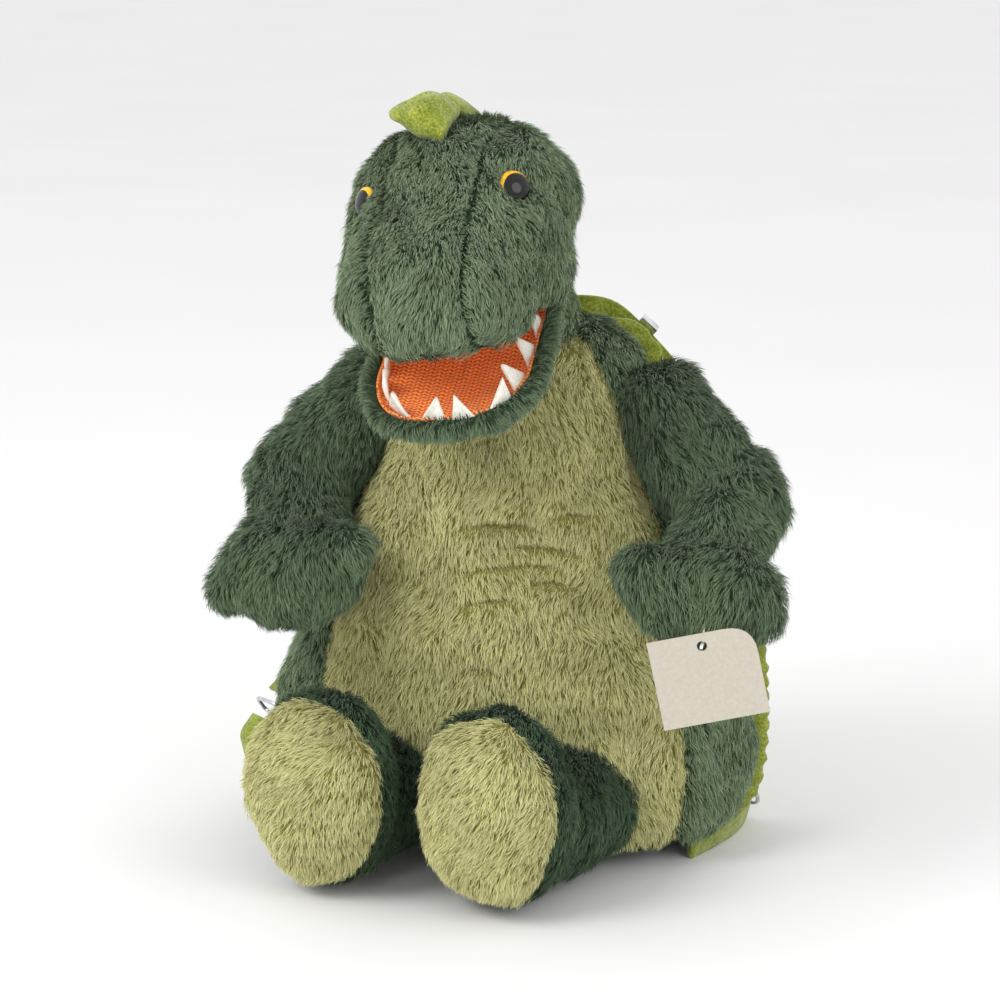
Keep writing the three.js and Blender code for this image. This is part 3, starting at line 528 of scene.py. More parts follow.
def pile(name, skin, where, comb, finish, body, seed, coat, trim=None):
    """Combed hair on part of a skin. comb gives each root's way, and trim shortens it: 1 is full length."""
    length, per_mm2, lean = coat
    rng = np.random.default_rng(seed)
    centre, up = skin.scatter(rng, per_mm2 * DENSITY / TUFT, where)
    way = comb(centre, up)
    way = unit(way - (way * up).sum(1, keepdims=True) * up)
    across = np.cross(up, way)
    wander = 0.34 * swirl(centre, seed + 1, 42) + 0.16 * swirl(centre, seed + 2, 12)
    angle = wander + rng.normal(0, 0.12, len(centre))
    way = way * np.cos(angle)[:, None] + across * np.sin(angle)[:, None]
    across = np.cross(up, way)
    full = CROP * length * (1 + 0.09 * swirl(centre, seed + 3, 22)) * rng.uniform(0.9, 1.05, len(centre))
    if trim:
        full *= trim(centre)
    tilt = np.radians(lean + LOOSE_LEAN + 6 * swirl(centre, seed + 4, 16) + rng.normal(0, 4, len(centre)))
    tone = 0.5 + 0.13 * swirl(centre, seed + 5, 30) + rng.normal(0, 0.09, len(centre))

    hairs = np.repeat(np.arange(len(centre)), TUFT)
    count = len(hairs)
    offset = rng.normal(0, TUFT_RADIUS * 0.62, (count, 2))
    spread = way[hairs] * offset[:, :1] + across[hairs] * offset[:, 1:]
    reach = full[hairs] * rng.uniform(0.75, 1.12, count)
    slant = tilt[hairs] + rng.normal(0, 0.14, count)
    turn = rng.normal(0, 0.16, count)
    ahead = way[hairs] * np.cos(turn)[:, None] + across[hairs] * np.sin(turn)[:, None]
    upward = up[hairs]
    root = centre[hairs] + spread - upward * ROOT_DEPTH
    rise, run = np.cos(slant), np.sin(slant)
    bend = upward * (0.62 * rise + 0.1)[:, None] + ahead * (0.38 * run)[:, None]
    middle = root + bend * reach[:, None] - spread * 0.15
    tip = root + (upward * rise[:, None] + ahead * run[:, None]) * reach[:, None] - spread * 0.4
    along = unit(tip - root)
    flat = unit(np.cross(along, upward))
    roll = rng.normal(0, 0.6, count)
    flat = flat * np.cos(roll)[:, None] + np.cross(along, flat) * np.sin(roll)[:, None]
    thick = rng.uniform(*HAIR_THICK, count)[:, None]
    wide, narrow = flat * thick, flat * thick * 0.8
    points = np.stack([root - wide, root + wide, middle - narrow, middle + narrow, tip], 1)
    points = packed(points.reshape(-1, 3))
    points[:, 2] = np.maximum(points[:, 2], FLOOR_GAP)
    tones = np.clip(tone[hairs] + rng.normal(0, 0.1, count), 0.02, 0.98)
    hair_piece(name, points, tones, finish, body)


def hair_piece(name, points, tones, finish, body):
    """Hairs of five points each, two flat faces to a hair, mapped to the shade of their own tone."""
    count = len(tones)
    cell = (np.floor(tones * TONES) + 0.5) / TONES
    half = 0.3 / TONES
    mesh = bpy.data.meshes.new(name)
    mesh.vertices.add(count * 5)
    mesh.vertices.foreach_set("co", points.astype(np.float32).ravel())
    start = np.arange(count)[:, None] * 5
    corners = (start + np.array([0, 1, 3, 2, 2, 3, 4])).ravel()
    mesh.loops.add(len(corners))
    mesh.loops.foreach_set("vertex_index", corners)
    mesh.polygons.add(count * 2)
    starts = (np.arange(count)[:, None] * 7 + np.array([0, 4])).ravel()
    mesh.polygons.foreach_set("loop_start", starts)
    mesh.polygons.foreach_set("use_smooth", np.ones(count * 2, bool))
    layer = mesh.uv_layers.new(name=UV)
    u = cell[:, None] + half * np.array([-1, 1, 1, -1, -1, 1, 0])
    v = np.broadcast_to(np.array([0.02, 0.02, 0.5, 0.5, 0.5, 0.5, 0.98]), u.shape)
    layer.data.foreach_set("uv", np.stack([u, v], 2).astype(np.float32).ravel())
    mesh.update(calc_edges=True)
    mesh.materials.append(finish)
    piece = bpy.data.objects.new(name, mesh)
    bpy.context.scene.collection.objects.link(piece)
    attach(piece, body)


def everywhere(points):
    return np.ones(len(points), bool)


def step(value, low, high):
    """A smooth climb from 0 at low to 1 at high."""
    t = np.clip((value - low) / (high - low), 0, 1)
    return t * t * (3 - 2 * t)


def groove(distance, width):
    """1 at no distance, fading to 0 over about two widths."""
    return np.exp(-((distance / width) ** 2))


INSET = 5.0  # the skin lies this far inside the fur's surface

# ---------------------------------------------------------------- camera, lamps and floor
AIM = Vector((-0.0148, 0.0281, 0.177))
AZIMUTH, ELEVATION, DISTANCE = math.radians(14), math.radians(13), 1.5
camera = bpy.data.objects.new("camera", bpy.data.cameras.new("camera"))
bpy.context.scene.collection.objects.link(camera)
camera.data.lens, camera.data.sensor_width = 108, 36
BACKWARDS = Vector(
    (math.sin(AZIMUTH) * math.cos(ELEVATION), -math.cos(AZIMUTH) * math.cos(ELEVATION), math.sin(ELEVATION))
)
camera.location = AIM + BACKWARDS * DISTANCE
camera.rotation_mode = "QUATERNION"
camera.rotation_quaternion = (-BACKWARDS).to_track_quat("-Z", "Y")
bpy.context.scene.camera = camera


def lamp(name, place, aim, size, power):
    light = bpy.data.lights.new(name, "AREA")
    light.shape, light.size, light.energy = "DISK", size, power
    holder = bpy.data.objects.new(name, light)
    bpy.context.scene.collection.objects.link(holder)
    holder.location = place
    holder.rotation_mode = "QUATERNION"
    holder.rotation_quaternion = (Vector(aim) - Vector(place)).to_track_quat("-Z", "Y")


ROOM_LIGHT = 1.04
TOY_MIDDLE = (0, 0, 0.18)
FLOOR_REACH = 40  # metres from the toy to the floor's edge


def studio():
    world = bpy.data.worlds.new("studio")
    world.use_nodes = True
    background = world.node_tree.nodes["Background"].inputs
    background[0].default_value = (1.0, 1.0, 1.0, 1)
    background[1].default_value = ROOM_LIGHT
    bpy.context.scene.world = world
    lamp("softbox_key", (-1.3, -1.5, 1.7), TOY_MIDDLE, 1.3, 30)
    lamp("softbox_fill", (1.8, -1.0, 1.2), TOY_MIDDLE, 1.4, 10)
    bpy.context.scene.view_settings.view_transform = "Standard"
    finish = Finish("floor", roughness=0.9, specular_ior_level=0.1)
    grain = finish.noise(3, 2)
    finish.shows(finish.ramp(grain, (0.3, grey(0.79)), (0.7, grey(0.805))))
    corners = [(x * FLOOR_REACH, y * FLOOR_REACH, 0) for x, y in ((-1, -1), (1, -1), (1, 1), (-1, 1))]
    floor = mesh_piece("floor", corners, [(0, 1, 2, 3)], finish.material, False)


studio()


# ---------------------------------------------------------------- torso
TORSO_HEIGHT, HALF_WIDTH, FRONT, BACK = 268.0, 120.0, 60.0, 50.0
# The torso's half width as a share of its widest, at shares of its height.
WIDTHS = [(0.84, 0), (0.97, 0.08), (1, 0.22), (0.97, 0.4), (0.85, 0.58), (0.69, 0.75)]
WIDTHS += [(0.57, 0.88), (0.47, 0.97), (0.38, 1)]
# The belly panel's height and half width.
BELLY = [(0, 86), (50, 94), (100, 90), (170, 77), (222, 59), (260, 40), (270, 8)]
BASE_SEAM, YOKE_SEAM, BELLY_MIDDLE = 14.0, 231.8, 120.0
BACK_SEAM = BACK - 8
SHOULDERS = [((sign * 34, 14, 240), (31, 30, 34)) for sign in (1, -1)]
HIPS = [((-97, 8, 62), (34, 36, 52)), ((97, 8, 58), (28, 36, 50))]


def torso_form(inset, back):
    """The stuffed body as rings from its base to its neck, flat behind."""
    share, up = np.array(WIDTHS).T
    rings = []
    for t in np.linspace(0, 1, 40):
        half = HALF_WIDTH * np.interp(t, up, share)
        front = FRONT * (half / HALF_WIDTH) ** 0.6
        z = inset + t * (TORSO_HEIGHT - 2 * inset)
        ring = []
        for a in circle(72):
            depth = front if math.sin(a) < 0 else 0.8 * half
            y = (depth - inset) * math.sin(a)
            ring.append(((half - inset) * math.cos(a), min(y, back), z))
        rings.append(ring)
    return loft(rings)


# Sewing creases across the belly: middle x, height, half length, depth, slope.
BELLY_CREASES = [
    (2, 176, 26, 3.6, 0.06),
    (26, 166, 22, 3.2, -0.1),
    (8, 156, 30, 3.4, 0.1),
    (30, 148, 18, 3.0, -0.05),
    (0, 139, 22, 2.6, 0.12),
    (38, 182, 14, 2.6, 0.1),
    (-4, 105, 14, 2.0, 0.15),
]


CREASE_WIDTH, CREASE_SAG, CREASE_PULL = 2.4, 3.0, 1.5


def belly_folds(points):
    """How deep the creases across the belly are at each point."""
    depth = np.zeros(len(points))
    for x, z, half, deep, slope in BELLY_CREASES:
        along = (points[:, 0] - x) / half
        line = z + slope * (points[:, 0] - x) - CREASE_SAG * along**2
        depth += CREASE_PULL * deep * groove(points[:, 2] - line, CREASE_WIDTH) * np.clip(1 - along**2, 0, 1)
    return depth * (points[:, 1] < -8)


def belly_edge(points):
    """Distance inside the belly panel's seam, on the front of the torso."""
    up, half = np.array(BELLY).T
    return np.interp(points[:, 2], up, half) - np.abs(points[:, 0])


def is_front(points):
    return (points[:, 1] < 4) & (points[:, 2] > BASE_SEAM)


def in_belly(points):
    return is_front(points) & (belly_edge(points) > 0)


def on_chest(points):
    return in_belly(points) & (points[:, 2] > BELLY_MIDDLE)


def on_paunch(points):
    return in_belly(points) & (points[:, 2] <= BELLY_MIDDLE)


def in_base(points):
    return (points[:, 2] <= BASE_SEAM) & (points[:, 1] <= BACK_SEAM)


def in_yoke(points):
    return ~in_belly(points) & (points[:, 2] > YOKE_SEAM) & (points[:, 1] <= BACK_SEAM)


def in_flank(sign):
    def where(points):
        rest = ~in_belly(points) & ~in_base(points) & ~in_yoke(points) & (points[:, 1] <= BACK_SEAM)
        return rest & (points[:, 0] * sign > 0)

    return where


def comb_down(points, up):
    """Downwards, and outwards a little to either side."""
    return np.stack([0.0025 * points[:, 0], np.full(len(points), -0.25), np.full(len(points), -1.0)], 1)


def torso_trim(points):
    near_seam = 1 - 0.45 * groove(belly_edge(points), 3.0) * (points[:, 1] < 4)
    return near_seam * (1 - 0.72 * np.clip(belly_folds(points) / 3.5, 0, 1))


def make_torso():
    forms = [torso_form(INSET, BACK - 4)]
    forms += [ball(centre, np.array(radii) - INSET) for centre, radii in SHOULDERS + HIPS]
    skin = Skin("torso", forms, 3.4, 10)
    lumps = 1.6 * swirl(skin.points, 11, 60) + 0.8 * swirl(skin.points, 12, 26)
    seam = 3.5 * groove(belly_edge(skin.points), 4.0) * (skin.points[:, 1] < 4)
    skin.grow(lumps * (skin.points[:, 1] < BACK - 10) - seam - belly_folds(skin.points))
    skin.points[:, 2] = np.maximum(skin.points[:, 2], 1.5)
    skin.panel("belly_backing", in_belly, OLIVE_BACKING, "torso", ["belly_panel", "torso_stuffing"])
    skin.panel("base_backing", in_base, GREEN_BACKING, "torso", ["base_panel"])
    skin.panel("yoke_backing", in_yoke, GREEN_BACKING, "torso", ["neck_yoke_left", "neck_yoke_right"])
    pile("chest_pile", skin, on_chest, comb_down, OLIVE_PILE, "torso", 101, BELLY_COAT, torso_trim)
    pile("paunch_pile", skin, on_paunch, comb_down, OLIVE_PILE, "torso", 105, BELLY_COAT, torso_trim)
    pile("yoke_pile", skin, in_yoke, comb_down, GREEN_PILE, "torso", 102, YOKE_COAT, torso_trim)
    for side, sign, seed in (("left", 1, 103), ("right", -1, 104)):
        flank = in_flank(sign)
        skin.panel(f"flank_backing_{side}", flank, GREEN_BACKING, "torso", [f"side_panel_{side}"])
        pile(f"flank_pile_{side}", skin, flank, comb_down, GREEN_PILE, "torso", seed, FLANK_COAT, torso_trim)


make_torso()


# ---------------------------------------------------------------- head
GUSSET = 22.0  # half the width of the panel down the middle of the head
PALATE_SLOPE, PALATE_BACK = math.tan(math.radians(12)), 15.0
# Cranium, snout, and the fullness between them: centre and radii in the head's own frame.
HEAD_BALLS = [
    ((0, -34, 64), (58, 57, 46)),
    ((0, -92, 31), (51, 46, 39)),
    ((0, -44, 36), (55, 46, 42)),
    ((0, -53, 53), (56, 54, 44)),
    ((0, -73, 42), (53, 50, 41.5)),
]
EYE_TURN, EYE_RISE, EYE_RADIUS = math.radians(44), math.radians(13), 7.9


def eye_place(sign):
    """Middle and outward way of an eye on the cranium, in the head's own frame."""
    level = math.cos(EYE_RISE)
    way = np.array([math.sin(EYE_TURN) * level * sign, -math.cos(EYE_TURN) * level, math.sin(EYE_RISE)])
    centre, radii = (np.array(v, float) for v in HEAD_BALLS[0])
    return centre + way * radii, unit(way / radii)


def palate_height(y):
    return np.where(y < JAW_HINGE[1], JAW_HINGE[2] + (y - JAW_HINGE[1]) * PALATE_SLOPE, PALATE_BACK)


def head_above(points):
    """Height over the roof of the mouth, and over the neck opening behind it."""
    local = off_head(points)
    return local[:, 2] - palate_height(local[:, 1])


def on_palate(points):
    return head_above(points) < 1.2


def in_mouth(points):
    return on_palate(points) & (off_head(points)[:, 1] < JAW_HINGE[1] + 6)


def under_chin(points):
    return on_palate(points) & ~in_mouth(points)


def eye_near(points):
    local = off_head(points)
    gaps = [np.linalg.norm(local - eye_place(sign)[0], axis=1) for sign in (1, -1)]
    return np.minimum(*gaps)


def seam_near(points):
    return np.abs(np.abs(off_head(points)[:, 0]) - GUSSET)


def head_panel(low, high):
    def where(points):
        local = off_head(points)
        return (local[:, 0] > low) & (local[:, 0] <= high) & ~on_palate(points)

    return where


def comb_head(points, up):
    """Forwards over the crown and down the face, parting at the lip."""
    local, local_up = off_head(points), up @ HEAD_TURN
    way = np.stack([0.004 * local[:, 0], np.full(len(local), -0.55), np.full(len(local), -1.0)], 1)
    lip = step(head_above(points), 20, 3)[:, None]
    way = way * (1 - 0.6 * lip) + np.stack([local_up[:, 0], local_up[:, 1], 0 * local[:, 0] - 0.5], 1) * lip
    seam = groove(seam_near(points), 4)[:, None]
    side = np.sign(np.abs(local[:, :1]) - GUSSET) * np.sign(local[:, :1])
    way += seam * side * np.array([[0.8, 0, 0]])
    return way @ HEAD_TURN.T


def head_trim(points):
    eye = step(eye_near(points), EYE_RADIUS - 3, EYE_RADIUS + 9)
    seam = 1 - 0.4 * groove(seam_near(points), 2.5)
    return np.where(eye_near(points) < EYE_RADIUS - 1.5, 0.02, (0.38 + 0.62 * eye) * seam)


def make_head():
    forms = [ball(centre, np.array(radii) - INSET) for centre, radii in HEAD_BALLS]
    skin = Skin("head", [(on_head(points), faces) for points, faces in forms], 2.8, 8)
    local = off_head(skin.points)
    local[:, 2] = np.maximum(local[:, 2], palate_height(local[:, 1]) + 0.4)
    skin.points = on_head(local)
    skin.smooth(2)
    dents = 2.6 * groove(seam_near(skin.points), 3.6) * step(local[:, 1], -20, -40)
    dents *= step(head_above(skin.points), 6, 30)
    wells = 1.6 * groove(eye_near(skin.points), 10.0)
    lumps = 1.0 * swirl(skin.points, 21, 40) + 0.5 * swirl(skin.points, 22, 18)
    skin.grow(np.where(on_palate(skin.points), 0, lumps - dents - wells))
    panels = (("gusset", -GUSSET, GUSSET), ("side_left", GUSSET, 99), ("side_right", -99, -GUSSET))
    for seed, (side, low, high) in enumerate(panels, 201):
        where = head_panel(low, high)
        nodes = ["head_" + side] + (["head_stuffing"] if side == "gusset" else [])
        skin.panel(f"head_{side}_backing", where, GREEN_BACKING, "head", nodes)
        pile(f"head_{side}_pile", skin, where, comb_head, GREEN_PILE, "head", seed, HEAD_COAT, head_trim)
    skin.panel("palate_cloth", in_mouth, ORANGE_KNIT, "head", ["palate_lining"])
    skin.panel("chin_backing", under_chin, GREEN_BACKING, "head")


make_head()


# ---------------------------------------------------------------- jaw
JAW_HALF, JAW_REACH, JAW_DEPTH, JAW_WALL = 47.5, 89.0, 24.0, 10.0
JAW_CHEEK = -42.0  # where the straight sides begin, in the jaw's own frame
JAW_SQUARE = 2.5  # how square the chin is: 2 is an ellipse
JAW_BACK = 3.0


def jaw_ring(inset, down):
    """The jaw's outline at one depth: round in front, with straight sides back to the hinge."""
    flat, deep = math.cos(down), math.sin(down)
    half, front = (JAW_HALF - inset) * flat, (JAW_REACH + JAW_CHEEK - inset) * flat
    ring = []
    for a in np.linspace(-np.pi / 2, np.pi / 2, 41):
        across, ahead = math.sin(a), math.cos(a)
        x = half * math.copysign(abs(across) ** (2 / JAW_SQUARE), across)
        ring.append((x, JAW_CHEEK - front * abs(ahead) ** (2 / JAW_SQUARE)))
    ring += [(half, y) for y in np.linspace(JAW_CHEEK, JAW_BACK, 12)[1:]]
    ring += [(x, JAW_BACK) for x in np.linspace(half, -half, 12)[1:-1]]
    ring += [(-half, y) for y in np.linspace(JAW_BACK, JAW_CHEEK, 12)[:-1]]
    shallow = [1 - 0.5 * step(y, JAW_CHEEK, JAW_BACK) for _, y in ring]
    return np.array([(x, y, -(JAW_DEPTH - inset) * deep * k) for (x, y), k in zip(ring, shallow)])


LIP_RISE = 2.2


def jaw_lip():
    """The bowl's rounded wall as one closed form, from outside over the lip to inside."""
    downs = np.radians(np.linspace(89, 0, 14))
    outer = [jaw_ring(3.0, t) for t in downs]
    inner = [jaw_ring(JAW_WALL - 1.0, t) for t in downs]
    crest = [outer[-1] * out + inner[-1] * back + (0, 0, LIP_RISE) for out, back in ((0.7, 0.3), (0.3, 0.7))]
    return loft([*outer, *crest, *inner[::-1]])


def jaw_outside(points):
    """The outer side and the lip, but not the mouth."""
    local = off_jaw(points)
    across = np.abs(local[:, 0]) / JAW_HALF
    ahead = np.maximum(JAW_CHEEK - local[:, 1], 0) / (JAW_REACH + JAW_CHEEK)
    below = np.maximum(-local[:, 2], 0) / JAW_DEPTH
    return across**JAW_SQUARE + ahead**JAW_SQUARE + below**2 > 0.66


def comb_jaw(points, up):
    """Down the outside, and out over the lip."""
    local, local_up = off_jaw(points), up @ JAW_TURN
    way = np.stack([0.3 * local_up[:, 0], 0 * local[:, 1] + 0.25, 0 * local[:, 2] - 1.0], 1)
    lip = step(local[:, 2], -6, 1)[:, None]
    outward = unit((local - (0, JAW_CHEEK, 0)) * np.array([1, 1, 0]))
    return (way * (1 - lip) + (outward + [0, 0, -0.2]) * lip) @ JAW_TURN.T


def make_jaw():
    points, faces = jaw_lip()
    skin = Skin("jaw", [(on_jaw(points), faces)], 1.6, 5)
    skin.grow(0.5 * swirl(skin.points, 31, 24))
    skin.panel("jaw_backing", everywhere, GREEN_BACKING, "jaw", ["jaw_cover"], thick=0.8)
    # The jaw's pile takes the green pile darkened with painted shade.
    pile("jaw_pile", skin, jaw_outside, comb_jaw, SHADED_GREEN_PILE, "jaw", 301, JAW_COAT)
    make_jaw_cloth()


def make_jaw_cloth():
    """The knit lining, laid into the bowl and turned up at the lip, with pulls between the teeth."""
    rings = np.array([jaw_ring(JAW_WALL - 0.6, t) * (1, 1, 0.62) for t in np.radians(np.linspace(90, 0, 22))])
    ripple = np.sin(rings[:, :, 0] * 0.42 + 1) * np.sin(rings[:, :, 1] * 0.3)
    rings[:, :, 2] += 0.6 * ripple
    rings[-1, :, 2] += 1.2
    points, faces = loft(rings)
    piece = mesh_piece("jaw_cloth", packed(on_jaw(points)), faces[:-2], ORANGE_KNIT)
    cloth = piece.modifiers.new("cloth", "SOLIDIFY")
    cloth.thickness, cloth.offset = 0.0012, 0
    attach(piece, "jaw")
    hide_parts("jaw_lining")


# Each tooth's ends on the lip and its point, in the jaw's own frame.
TEETH = [
    ((-36.6, -33.0), (-36.0, -45.0), (-31.0, -38.0)),
    ((-36.0, -46.0), (-30.5, -62.0), (-31.0, -52.0)),
    ((-29.6, -64.0), (-14.5, -77.0), (-24.0, -68.5)),
    ((-12.5, -77.5), (2.8, -80.6), (-1.0, -74.5)),
    ((4.6, -81.0), (18.0, -79.5), (7.4, -74.0)),
    ((20.1, -80.0), (33.0, -70.5), (30.0, -66.0)),
    ((33.0, -66.5), (35.5, -51.0), (28.0, -57.0)),
    ((35.6, -46.0), (36.5, -31.5), (30.5, -38.0)),
    ((36.6, -28.0), (37.0, -14.5), (33.5, -19.5)),
]
TOOTH_RISE, TOOTH_FOOT, FELT = 10.5, -2.5, 2.4
SNIP = 1.5  # width of a tooth's blunt point
TOOTH_ROWS = 12


def make_tooth(number, first, last, point):
    """A stiff felt triangle with soft edges, its foot sewn in behind the lip."""
    rng = np.random.default_rng(600 + number)
    a, b = np.array([*first, TOOTH_FOOT]), np.array([*last, TOOTH_FOOT])
    tip = np.array([*point, TOOTH_RISE + rng.uniform(-0.8, 0.8)])
    face = unit(np.cross(b - a, tip - a))
    front = []
    for i in range(TOOTH_ROWS + 1):
        t = i / TOOTH_ROWS
        left, right = a + (tip - a) * t, b + (tip - b) * t
        width = max(np.linalg.norm(right - left), 1e-6)
        bulge = 0.9 * math.sin(math.pi * min(t * 1.1, 1)) * (1 - t)
        middle = (left + right) / 2
        blunt = max(1.0, SNIP / width)
        for j in range(TOOTH_ROWS + 1):
            s = j / TOOTH_ROWS
            p = middle + (left + (right - left) * s - middle) * blunt
            edge = math.sin(math.pi * s) ** 0.35 * math.sin(math.pi * min(1, (1 - t) * 6) / 2) ** 0.5
            wave = 0.5 * math.sin(5 * s + number) * math.sin(4 * t + 2 * number)
            front.append((p + face * (bulge + wave), edge))
    sides = [p + face * (sign * FELT / 2 * (0.35 + 0.65 * e)) for sign in (1, -1) for p, e in front]
    per = TOOTH_ROWS + 1
    back = per * per
    faces = []
    for i in range(TOOTH_ROWS):
        for j in range(TOOTH_ROWS):
            k = i * per + j
            faces.append((k, k + 1, k + per + 1, k + per))
            faces.append((back + k, back + k + per, back + k + per + 1, back + k + 1))
    along = range(TOOTH_ROWS)
    loop = [*along] + [i * per + TOOTH_ROWS for i in along]
    loop += [TOOTH_ROWS * per + TOOTH_ROWS - j for j in along] + [(TOOTH_ROWS - i) * per for i in along]
    for here, there in zip(loop, loop[1:] + loop[:1]):
        faces.append((there, here, back + here, back + there))
    piece = mesh_piece(f"felt_tooth_{number}", packed(on_jaw(sides)), faces, WHITE_FELT)
    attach(piece, "jaw")
    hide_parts(f"tooth_{number}")


make_jaw()
for number, (first, last, point) in enumerate(TEETH, 1):
    make_tooth(number, first, last, point)


# ---------------------------------------------------------------- neck
NECK_RADIUS, NECK_BARE = 37, 304  # the neck has no pile above this height, inside the head


def below_head(points):
    return points[:, 2] < NECK_BARE


def make_neck():
    collar = ball(NECK + (0, 8, -22), [44, 36, 22])
    skin = Skin("neck", [ball(NECK, [NECK_RADIUS] * 3), collar], 3.0, 5)
    skin.panel("neck_backing", everywhere, GREEN_BACKING, "neck", ["neck_stuffing"])
    pile("neck_pile", skin, below_head, comb_down, GREEN_PILE, "neck", 311, NECK_COAT)


make_neck()


# ---------------------------------------------------------------- arms
SHOULDER = np.array([72.0, 2.0, 226.0])
ELBOW = {"left": (115, -22, 184), "right": (105, -24, 186)}
HAND = {"left": (109, -70, 153), "right": (94, -74, 153)}
FINGERS = ((-32, -4, 14), (30, -3, -10), (8, -3, -16))
FINGER_RADIUS, HAND_RADII = 14 + 1.5, (40, 25, 30)
UPPER_RADIUS, FORE_RADIUS, WRIST_RADIUS = 29, 28, 26
THUMB_ROOT = (-22, -16, -2)
ARMHOLE = SHOULDER[0] - 14  # the arm's cloth ends inside the torso here


def arm_parts(side):
    sign = np.array([1.0 if side == "left" else -1.0, 1, 1])
    return sign, SHOULDER * sign, np.array(ELBOW[side], float) * sign, np.array(HAND[side], float) * sign


def make_arm(side, seed):
    sign, shoulder, elbow, hand = arm_parts(side)
    wrist = hand + (elbow - hand) * 0.25
    forms = [
        sausage(shoulder, elbow, UPPER_RADIUS - INSET, UPPER_RADIUS - INSET),
        sausage(elbow, wrist, FORE_RADIUS - INSET, WRIST_RADIUS - INSET),
        ball(hand, np.array(HAND_RADII) - INSET),
    ]
    forms += [ball(hand + np.array(offset) * sign, [FINGER_RADIUS - INSET] * 3) for offset in FINGERS]
    skin = Skin("arm_" + side, forms, 3.0, 8)
    thumb_root = hand + np.array(THUMB_ROOT) * sign
    creases = 3.0 * groove(np.linalg.norm(skin.points - thumb_root, axis=1), 9)
    past_bend = (skin.points - (elbow + (0, -14, 8))) @ unit(hand - elbow)
    creases += 2.2 * groove(past_bend, 3.5) * (skin.points[:, 1] < elbow[1])
    lumps = 1.5 * swirl(skin.points, seed, 34) + 0.7 * swirl(skin.points, seed + 1, 15)
    skin.grow(lumps - creases)

    def outside(points):
        return (points[:, 0] * sign[0] > ARMHOLE) | (points[:, 1] < -30)

    def comb(points, up):
        fore = step(points[:, 1], -10, -50)[:, None]
        upper = unit(elbow - shoulder) * 0.8 + (0, 0, -0.8)
        lower = unit(hand - elbow) * 0.4 + (0, 0, -1.0)
        return upper * (1 - fore) + lower * fore

    body, nodes = f"arm_{side}", [f"arm_cover_{side}", f"arm_stuffing_{side}"]
    skin.panel(f"arm_backing_{side}", outside, GREEN_BACKING, body, nodes)
    # The arm's pile takes the green pile darkened with painted shade.
    pile(f"shaded_green_pile_{side}", skin, outside, comb, SHADED_GREEN_PILE, body, seed + 2, ARM_COAT)


make_arm("left", 401)
make_arm("right", 411)


# ---------------------------------------------------------------- legs
HIP = {"left": (40.0, -42.0, 37.0), "right": (-54.0, -42.0, 37.0)}
LEG_TURN = {"left": -20, "right": -18}
LEG_LENGTH = {"left": 68.0, "right": 58.0}
FOOT, LEG_RADIUS = np.array([43.5, 34.0, 52.0]), 35
SOLE_SETBACK = 3.0
UPPER_WAY, SOLE_WAY = np.array([0, -0.55, -0.8]), np.array([-0.45, -0.1, -1.0])


def make_leg(side, seed):
    turn, hip, long = turned("Z", LEG_TURN[side]), np.array(HIP[side]), LEG_LENGTH[side]
    foot = np.array([0, -long, FOOT[2] - hip[2]])
    radius = LEG_RADIUS - INSET
    forms = [sausage((0, 0, 0), (0, -long, 0), radius, radius), ball(foot, FOOT - INSET)]
    skin = Skin("leg_" + side, [(points @ turn.T + hip, faces) for points, faces in forms], 3.0, 8)
    seam_y = -long - SOLE_SETBACK

    def past_seam(points):
        return ((points - hip) @ turn)[:, 1] - seam_y

    def in_sole(points):
        return past_seam(points) < 0

    def in_upper(points):
        return ~in_sole(points)

    def comb_upper(points, up):
        return np.broadcast_to(UPPER_WAY @ turn.T, points.shape)

    def comb_sole(points, up):
        return np.broadcast_to(SOLE_WAY @ turn.T, points.shape)

    def trim(points):
        return 1 - 0.35 * groove(past_seam(points), 2.6)

    lumps = 1.3 * swirl(skin.points, seed, 34) + 0.6 * swirl(skin.points, seed + 1, 16)
    skin.grow(lumps - 2.6 * groove(past_seam(skin.points), 3.2))
    skin.points[:, 2] = np.maximum(skin.points[:, 2], 1.2)
    body, nodes = f"leg_{side}", [f"leg_cover_{side}", f"leg_stuffing_{side}"]
    skin.panel(f"leg_backing_{side}", in_upper, DARK_BACKING, body, nodes)
    skin.panel(f"sole_backing_{side}", in_sole, OLIVE_BACKING, body, [f"foot_sole_{side}"])
    pile(f"leg_pile_{side}", skin, in_upper, comb_upper, DARK_PILE, body, seed + 2, LEG_COAT, trim)
    pile(f"sole_pile_{side}", skin, in_sole, comb_sole, OLIVE_PILE, body, seed + 3, SOLE_COAT, trim)


make_leg("left", 501)
make_leg("right", 511)


# ---------------------------------------------------------------- eyes
EYE_SINK = 3.6  # the rim of an eye lies this deep in the fur


def make_eye(side, sign):
    """A safety eye: a domed cap with its gold ring, set into the fur."""
    centre, way = eye_place(sign)
    centre, way = on_head(centre), way @ HEAD_TURN.T
    aside = unit(np.cross((0, 0, 1.0), way))
    over = np.cross(way, aside)
    rings = []
    for t in np.radians(np.linspace(-20, 88, 22)):
        radius, rise = EYE_RADIUS * math.cos(t), EYE_RADIUS * 0.5 * math.sin(t) - EYE_SINK
        middle = centre + way * rise
        rings.append([middle + radius * (aside * math.cos(a) + over * math.sin(a)) for a in circle(48)])
    points, faces = loft(rings)
    down = -over * 0.8 + aside * 0.6
    finish = eye_finish(f"eye_{side}_gloss", packed(centre), way, EYE_RADIUS * MM, down)
    piece = mesh_piece(f"safety_eye_{side}", packed(points), faces, finish)
    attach(piece, "head")
    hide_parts(f"eye_{side}")


make_eye("left", 1)
make_eye("right", -1)


